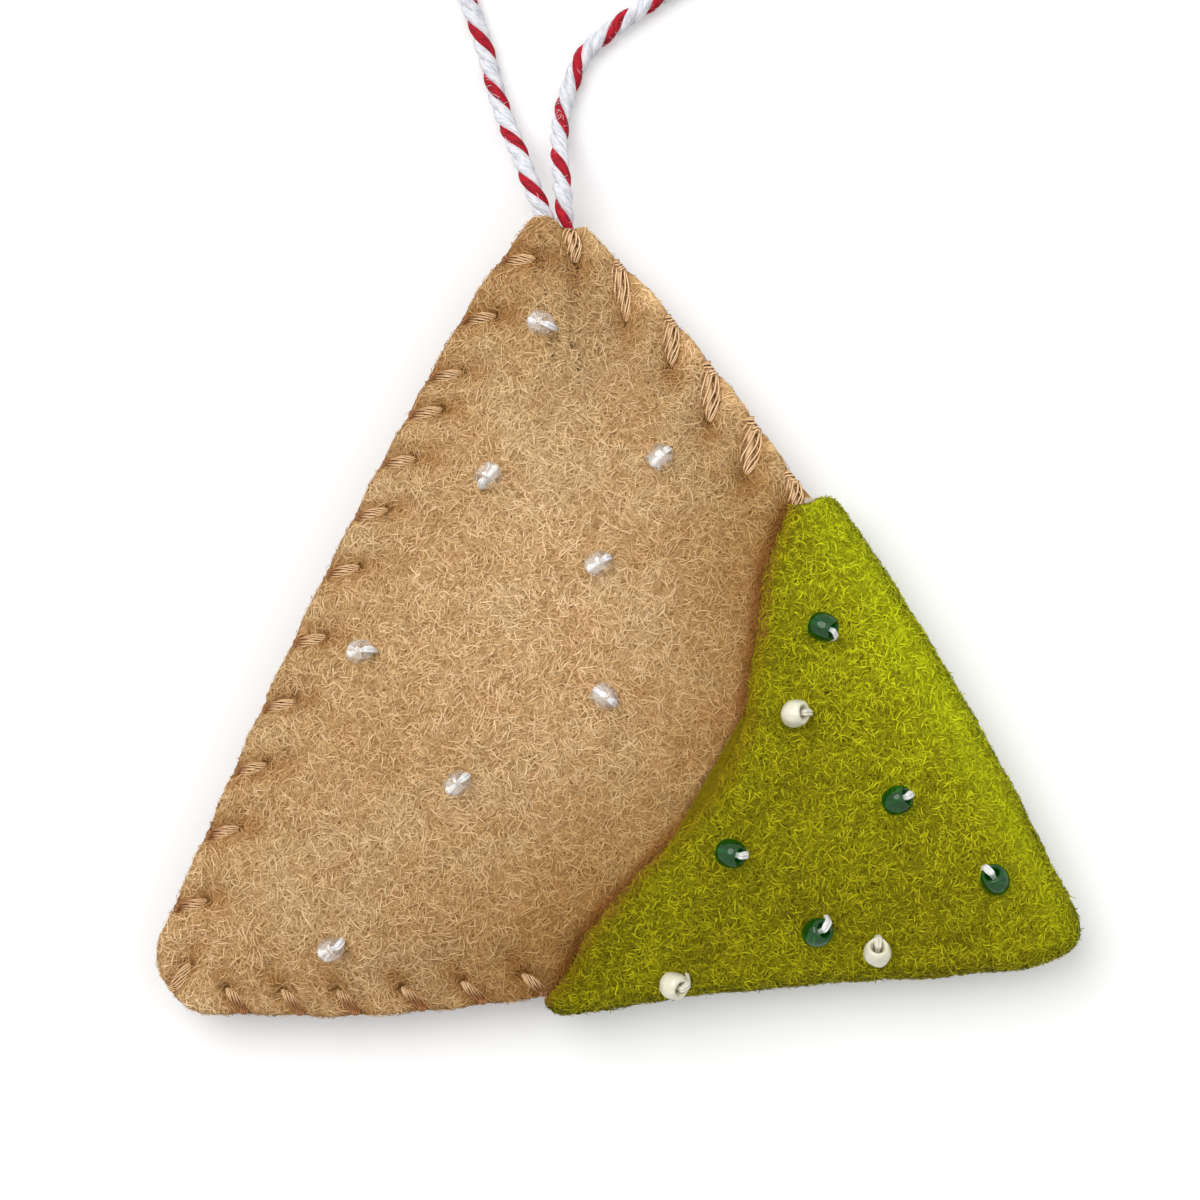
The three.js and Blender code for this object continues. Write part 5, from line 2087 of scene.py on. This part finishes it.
@dataclass
class Twine:
    """The striped twine: three plies laid round each other, sewn in at both ends."""

    left_tail: tuple[tuple[float, float, float], ...] = (
        (-6.4, 20.5, 4.0), (-6.5, 24.5, 4.0), (-6.1, 28.0, 4.0), (-5.8, 30.6, 4.0), (-6.25, 32.7, 4.0),
    )
    loop: tuple[tuple[float, float, float], ...] = (
        (-6.85, 34.1, 4.0), (-7.75, 36.4, 3.5), (-8.8, 39.1, 2.3), (-9.9, 42.0, 1.2), (-11.0, 46.1, 0.8),
        (-12.3, 50.0, 0.8), (-15.2, 56.5, 0.8), (-18.3, 64.5, 0.8), (-20.6, 74.0, 0.8), (-21.2, 84.0, 0.8),
        (-19.4, 94.5, 0.8), (-14.4, 102.8, 0.8), (-6.4, 107.2, 0.8), (2.8, 106.4, 0.8), (10.8, 101.0, 0.8),
        (15.8, 92.0, 0.8), (17.6, 81.5, 0.8), (16.8, 71.0, 0.8), (13.6, 61.6, 0.8), (8.4, 54.6, 0.8),
        (1.8, 50.0, 0.8), (-2.3, 46.9, 0.8), (-3.9, 44.2, 0.8), (-4.8, 41.0, 1.2), (-5.0, 38.6, 2.3),
        (-4.85, 36.3, 3.5), (-4.65, 34.1, 4.0),
    )
    right_tail: tuple[tuple[float, float, float], ...] = (
        (-4.55, 32.7, 4.0), (-4.5, 30.6, 4.0), (-4.6, 28.0, 4.0), (-4.8, 24.5, 4.0), (-4.9, 20.5, 4.0),
    )
    exit: tuple[float, float, float] = (-7.0 * MM, 34.1 * MM, 4.0 * MM)
    diameter: float = 1.5 * MM
    ply: float = 0.415 * MM
    ply_offset: float = 0.355 * MM
    ply_sides: int = 12
    pitch: float = 4.63 * MM
    phase: float = 0.9
    key_steps: int = 16
    steps_per_turn: int = 18
    path_stride: int = 4
    bend_from: float = 32.6 * MM
    bend_to: float = 36.4 * MM
    fuzz: Fibres = Fibres(
        2400, 0.4 * MM, 1.2 * MM, 0.035 * MM, 0.16 * MM, 71,
        loose_share=0.35, heading_spread=0.9, curl=0.5,
    )

    def __post_init__(self) -> None:
        """Works out the twine's middle line."""
        points = np.array([*self.left_tail, *self.loop, *self.right_tail]) * MM
        rough = smooth_route(points, self.key_steps)
        self.length = route_length(rough)
        self.steps = round(self.length / self.pitch * self.steps_per_turn)
        self.route = even_route(rough, self.steps)

    def bend(self, piece: Piece) -> None:
        """Bakes a piece's placement into its mesh."""
        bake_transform(piece)

    def build(self, finish: TwineFinish) -> None:
        """Args:
            finish: The twine's finish.
        """
        nap = finish.fuzz.material()
        first, second = carried_frames(self.route)
        turns = np.linspace(0, self.length / self.pitch, self.steps + 1)
        plies = []
        for index in range(3):
            angle = (self.phase + TURN * (index / 3 - turns))[:, None]
            out = first * np.cos(angle) + second * np.sin(angle)
            line = self.route + self.ply_offset * out
            along = unit(np.gradient(line, axis=0))
            out = unit(out - (out * along).sum(1, keepdims=True) * along)
            ply = tube(line, self.ply * out, self.ply * np.cross(along, out), self.ply_sides)
            plies.append(tagged(ply, "crimson", float(index == 0)))
        nodes = ["hanging_loop", "twine_ends"]
        piece = make_piece("baker_twine", joined(plies), finish.material(), nodes, None)
        hairs = self.fuzz.grow("twine_fuzz", piece, nap, finish.slot, self.everywhere, None)
        self.bend(piece)
        self.bend(hairs)

    def everywhere(self, spots: Array, _: Array) -> Array:
        """Lets the fuzz lie on all of the twine."""
        return np.ones(len(spots))


# The stage


@dataclass
class PhotoCamera:
    """The camera, straight above the ornament as in the photograph."""

    centre: tuple[float, float] = (-1.666 * MM, 1.26 * MM)
    seen_width: float = 97.512 * MM
    seen_height: float = 5 * MM
    lens: float = 120.0
    sensor: float = 36.0
    clip_start: float = 0.01
    clip_end: float = 10

    def height(self) -> float:
        """How high the camera stands."""
        return self.seen_height + self.seen_width * self.lens / self.sensor

    def seen_over(self, spot: Array, height: float) -> Array:
        """Where a thing at a height stands that is seen over a spot in the picture's plane."""
        share = (self.height() - height) / (self.height() - self.seen_height)
        return np.array(self.centre) + share * (spot - self.centre)

    def build(self) -> None:
        """Makes the camera and sets it as the scene's."""
        data = bpy.data.cameras.new("photo_camera")
        data.lens = self.lens
        data.sensor_width = self.sensor
        data.clip_start, data.clip_end = self.clip_start, self.clip_end
        camera = bpy.data.objects.new("photo_camera", data)
        camera.location = (*self.centre, self.height())
        bpy.context.scene.collection.objects.link(camera)
        bpy.context.scene.camera = camera


@dataclass(frozen=True)
class Lamp:
    """A soft distant lamp: where it shines from, how strong it is and how wide it looks."""

    name: str
    way: tuple[float, float, float]
    strength: float
    angle: float

    def build(self) -> None:
        """Adds the lamp."""
        data = bpy.data.lights.new(self.name, "SUN")
        data.energy, data.angle = self.strength, self.angle
        lamp = bpy.data.objects.new(self.name, data)
        lamp.rotation_euler = Vector(self.way).to_track_quat("Z", "Y").to_euler()
        bpy.context.scene.collection.objects.link(lamp)


@dataclass
class Studio:
    """The white surface, the lamps and the even light around."""

    floor_half: float = 1.5
    floor_drop: float = 0.02 * MM
    floor_colour: Colour = (0.8, 0.8, 0.8)
    floor_glow: float = 0.22
    lamps: tuple[Lamp, ...] = (
        Lamp("key", (-0.40, 0.41, 0.82), 1.9, math.radians(46)),
        Lamp("fill", (0.45, 0.20, 0.87), 0.4, math.radians(50)),
    )
    world_strength: float = 0.48

    def seen_directly(self, nodes: Nodes) -> Socket:
        """Adds a test for what the camera sees, also in gloss and through glass.

        Args:
            nodes: The material's or the world's nodes.

        Returns:
            1 where it is seen and 0 elsewhere.
        """
        path = nodes.add("LightPath").outputs
        seen = nodes.maths("MAXIMUM", path["Is Camera Ray"], path["Is Glossy Ray"])
        return nodes.maths("MAXIMUM", seen, path["Is Transmission Ray"])

    def build(self) -> None:
        """Makes the floor, the lamps and the world."""
        self.build_floor()
        for lamp in self.lamps:
            lamp.build()
        self.build_world()

    def build_floor(self) -> None:
        """Makes the white surface, which glows a little where it is seen."""
        shape = bmesh.new()
        bmesh.ops.create_grid(shape, x_segments=1, y_segments=1, size=self.floor_half)
        mesh = bpy.data.meshes.new("white_surface")
        shape.to_mesh(mesh)
        shape.free()
        material, nodes = new_material("white_surface")
        glow = nodes.maths("MULTIPLY", self.seen_directly(nodes), self.floor_glow)
        finish_material(nodes, self.floor_colour, 1.0, 0.0, Emission_Color=WHITE, Emission_Strength=glow)
        mesh.materials.append(material)
        floor = bpy.data.objects.new("white_surface", mesh)
        floor.location = (0, 0, -self.floor_drop)
        bpy.context.scene.collection.objects.link(floor)

    def build_world(self) -> None:
        """Makes the even light, at full strength where it is seen."""
        world = bpy.data.worlds.new("studio")
        world.use_nodes = True
        bpy.context.scene.world = world
        nodes = Nodes(world.node_tree)
        seen = self.seen_directly(nodes)
        rest = nodes.maths("SUBTRACT", 1.0, self.world_strength)
        strength = nodes.maths("ADD", nodes.maths("MULTIPLY", seen, rest), self.world_strength)
        light = nodes.add("Background", {"Color": WHITE, "Strength": strength})
        nodes.add("OutputWorld", {"Surface": light.outputs[0]})


# The whole


@dataclass
class Ornament:
    """The whole ornament: its form, its finishes and how it is put together."""

    form: ChipForm = field(default_factory=ChipForm)
    finishes: Finishes = field(default_factory=Finishes)

    def build(self) -> None:
        """Builds all the ornament's pieces."""
        Twine().build(self.finishes.twine)
        seam = WhipSeam(self.form)
        self.build_felt(seam)
        seam.build(self.finishes.floss)
        self.build_beads()
        GlueCrumb().build(self.finishes.glue)

    def build_felt(self, seam: WhipSeam) -> None:
        """Builds the panels, the green felt and the filling, and then the fibres on them.

        Args:
            seam: The floss, which shapes the panels.
        """
        tan, green = self.finishes.tan, self.finishes.green
        base = tan.base()
        panels = {side: FeltPanel(self.form, seam, side) for side in Side}
        bases = {side: panel.build(base) for side, panel in panels.items()}
        corner = DippedCorner(self.form)
        dipped = corner.build(green.base())
        Filling(self.form).build(self.finishes.fill.base())
        nap, on_tan = tan.nap(), TanNap(self.form, seam)
        for name, side, fibres in on_tan.layers:
            hairs = fibres.grow(f"tan_nap_{name}", bases[side], nap, tan.slot, on_tan.keep(side))
            panels[side].tint(hairs)
        nap, on_green = green.nap(), GreenNap(self.form)
        for name, side, fibres in on_green.layers:
            hairs = fibres.grow(f"green_nap_{name}", dipped, nap, green.slot, on_green.keep(side))
            corner.tint(hairs)
        # The fuzz along the dip edge carries painted shade.
        fuzz = self.finishes.dip_edge_shade.material()
        on_green.edging.grow("dip_edge_fuzz", dipped, fuzz, green.slot, on_green.on_edge)

    def bead_kinds(self) -> tuple[BeadKind, ...]:
        """Lists the three kinds of bead.

        Returns:
            The kinds, with the felt that each is sewn on.
        """
        looks, green = self.finishes, "dipped_corner_felt"
        even, uneven = 0.03 * MM, 0.12 * MM
        return (
            BeadKind("clear", looks.clear, looks.white, 8, 2.0 * MM, even, math.radians(30), "front_felt"),
            BeadKind("green", looks.emerald, looks.white, 5, 2.35 * MM, even, math.radians(42), green),
            BeadKind("pearl", looks.pearl, looks.cream, 3, 2.2 * MM, uneven, math.radians(48), green),
        )

    def build_beads(self) -> None:
        """Builds the sixteen beads with their threads."""
        camera = PhotoCamera()
        for kind in self.bead_kinds():
            felt = search_tree(bpy.data.objects[kind.sewn_on].data)
            for number in range(1, kind.count + 1):
                name, tie = f"{kind.name}_bead_{number}", f"{kind.name}_bead_tie_{number}"
                SewnBead(name, tie, kind, felt, camera).build()


def main() -> None:
    """Builds the ornament and its stage."""
    bpy.context.scene.view_settings.view_transform = "Standard"
    PhotoCamera().build()
    Ornament().build()
    Studio().build()


if __name__ == "__main__":
    main()
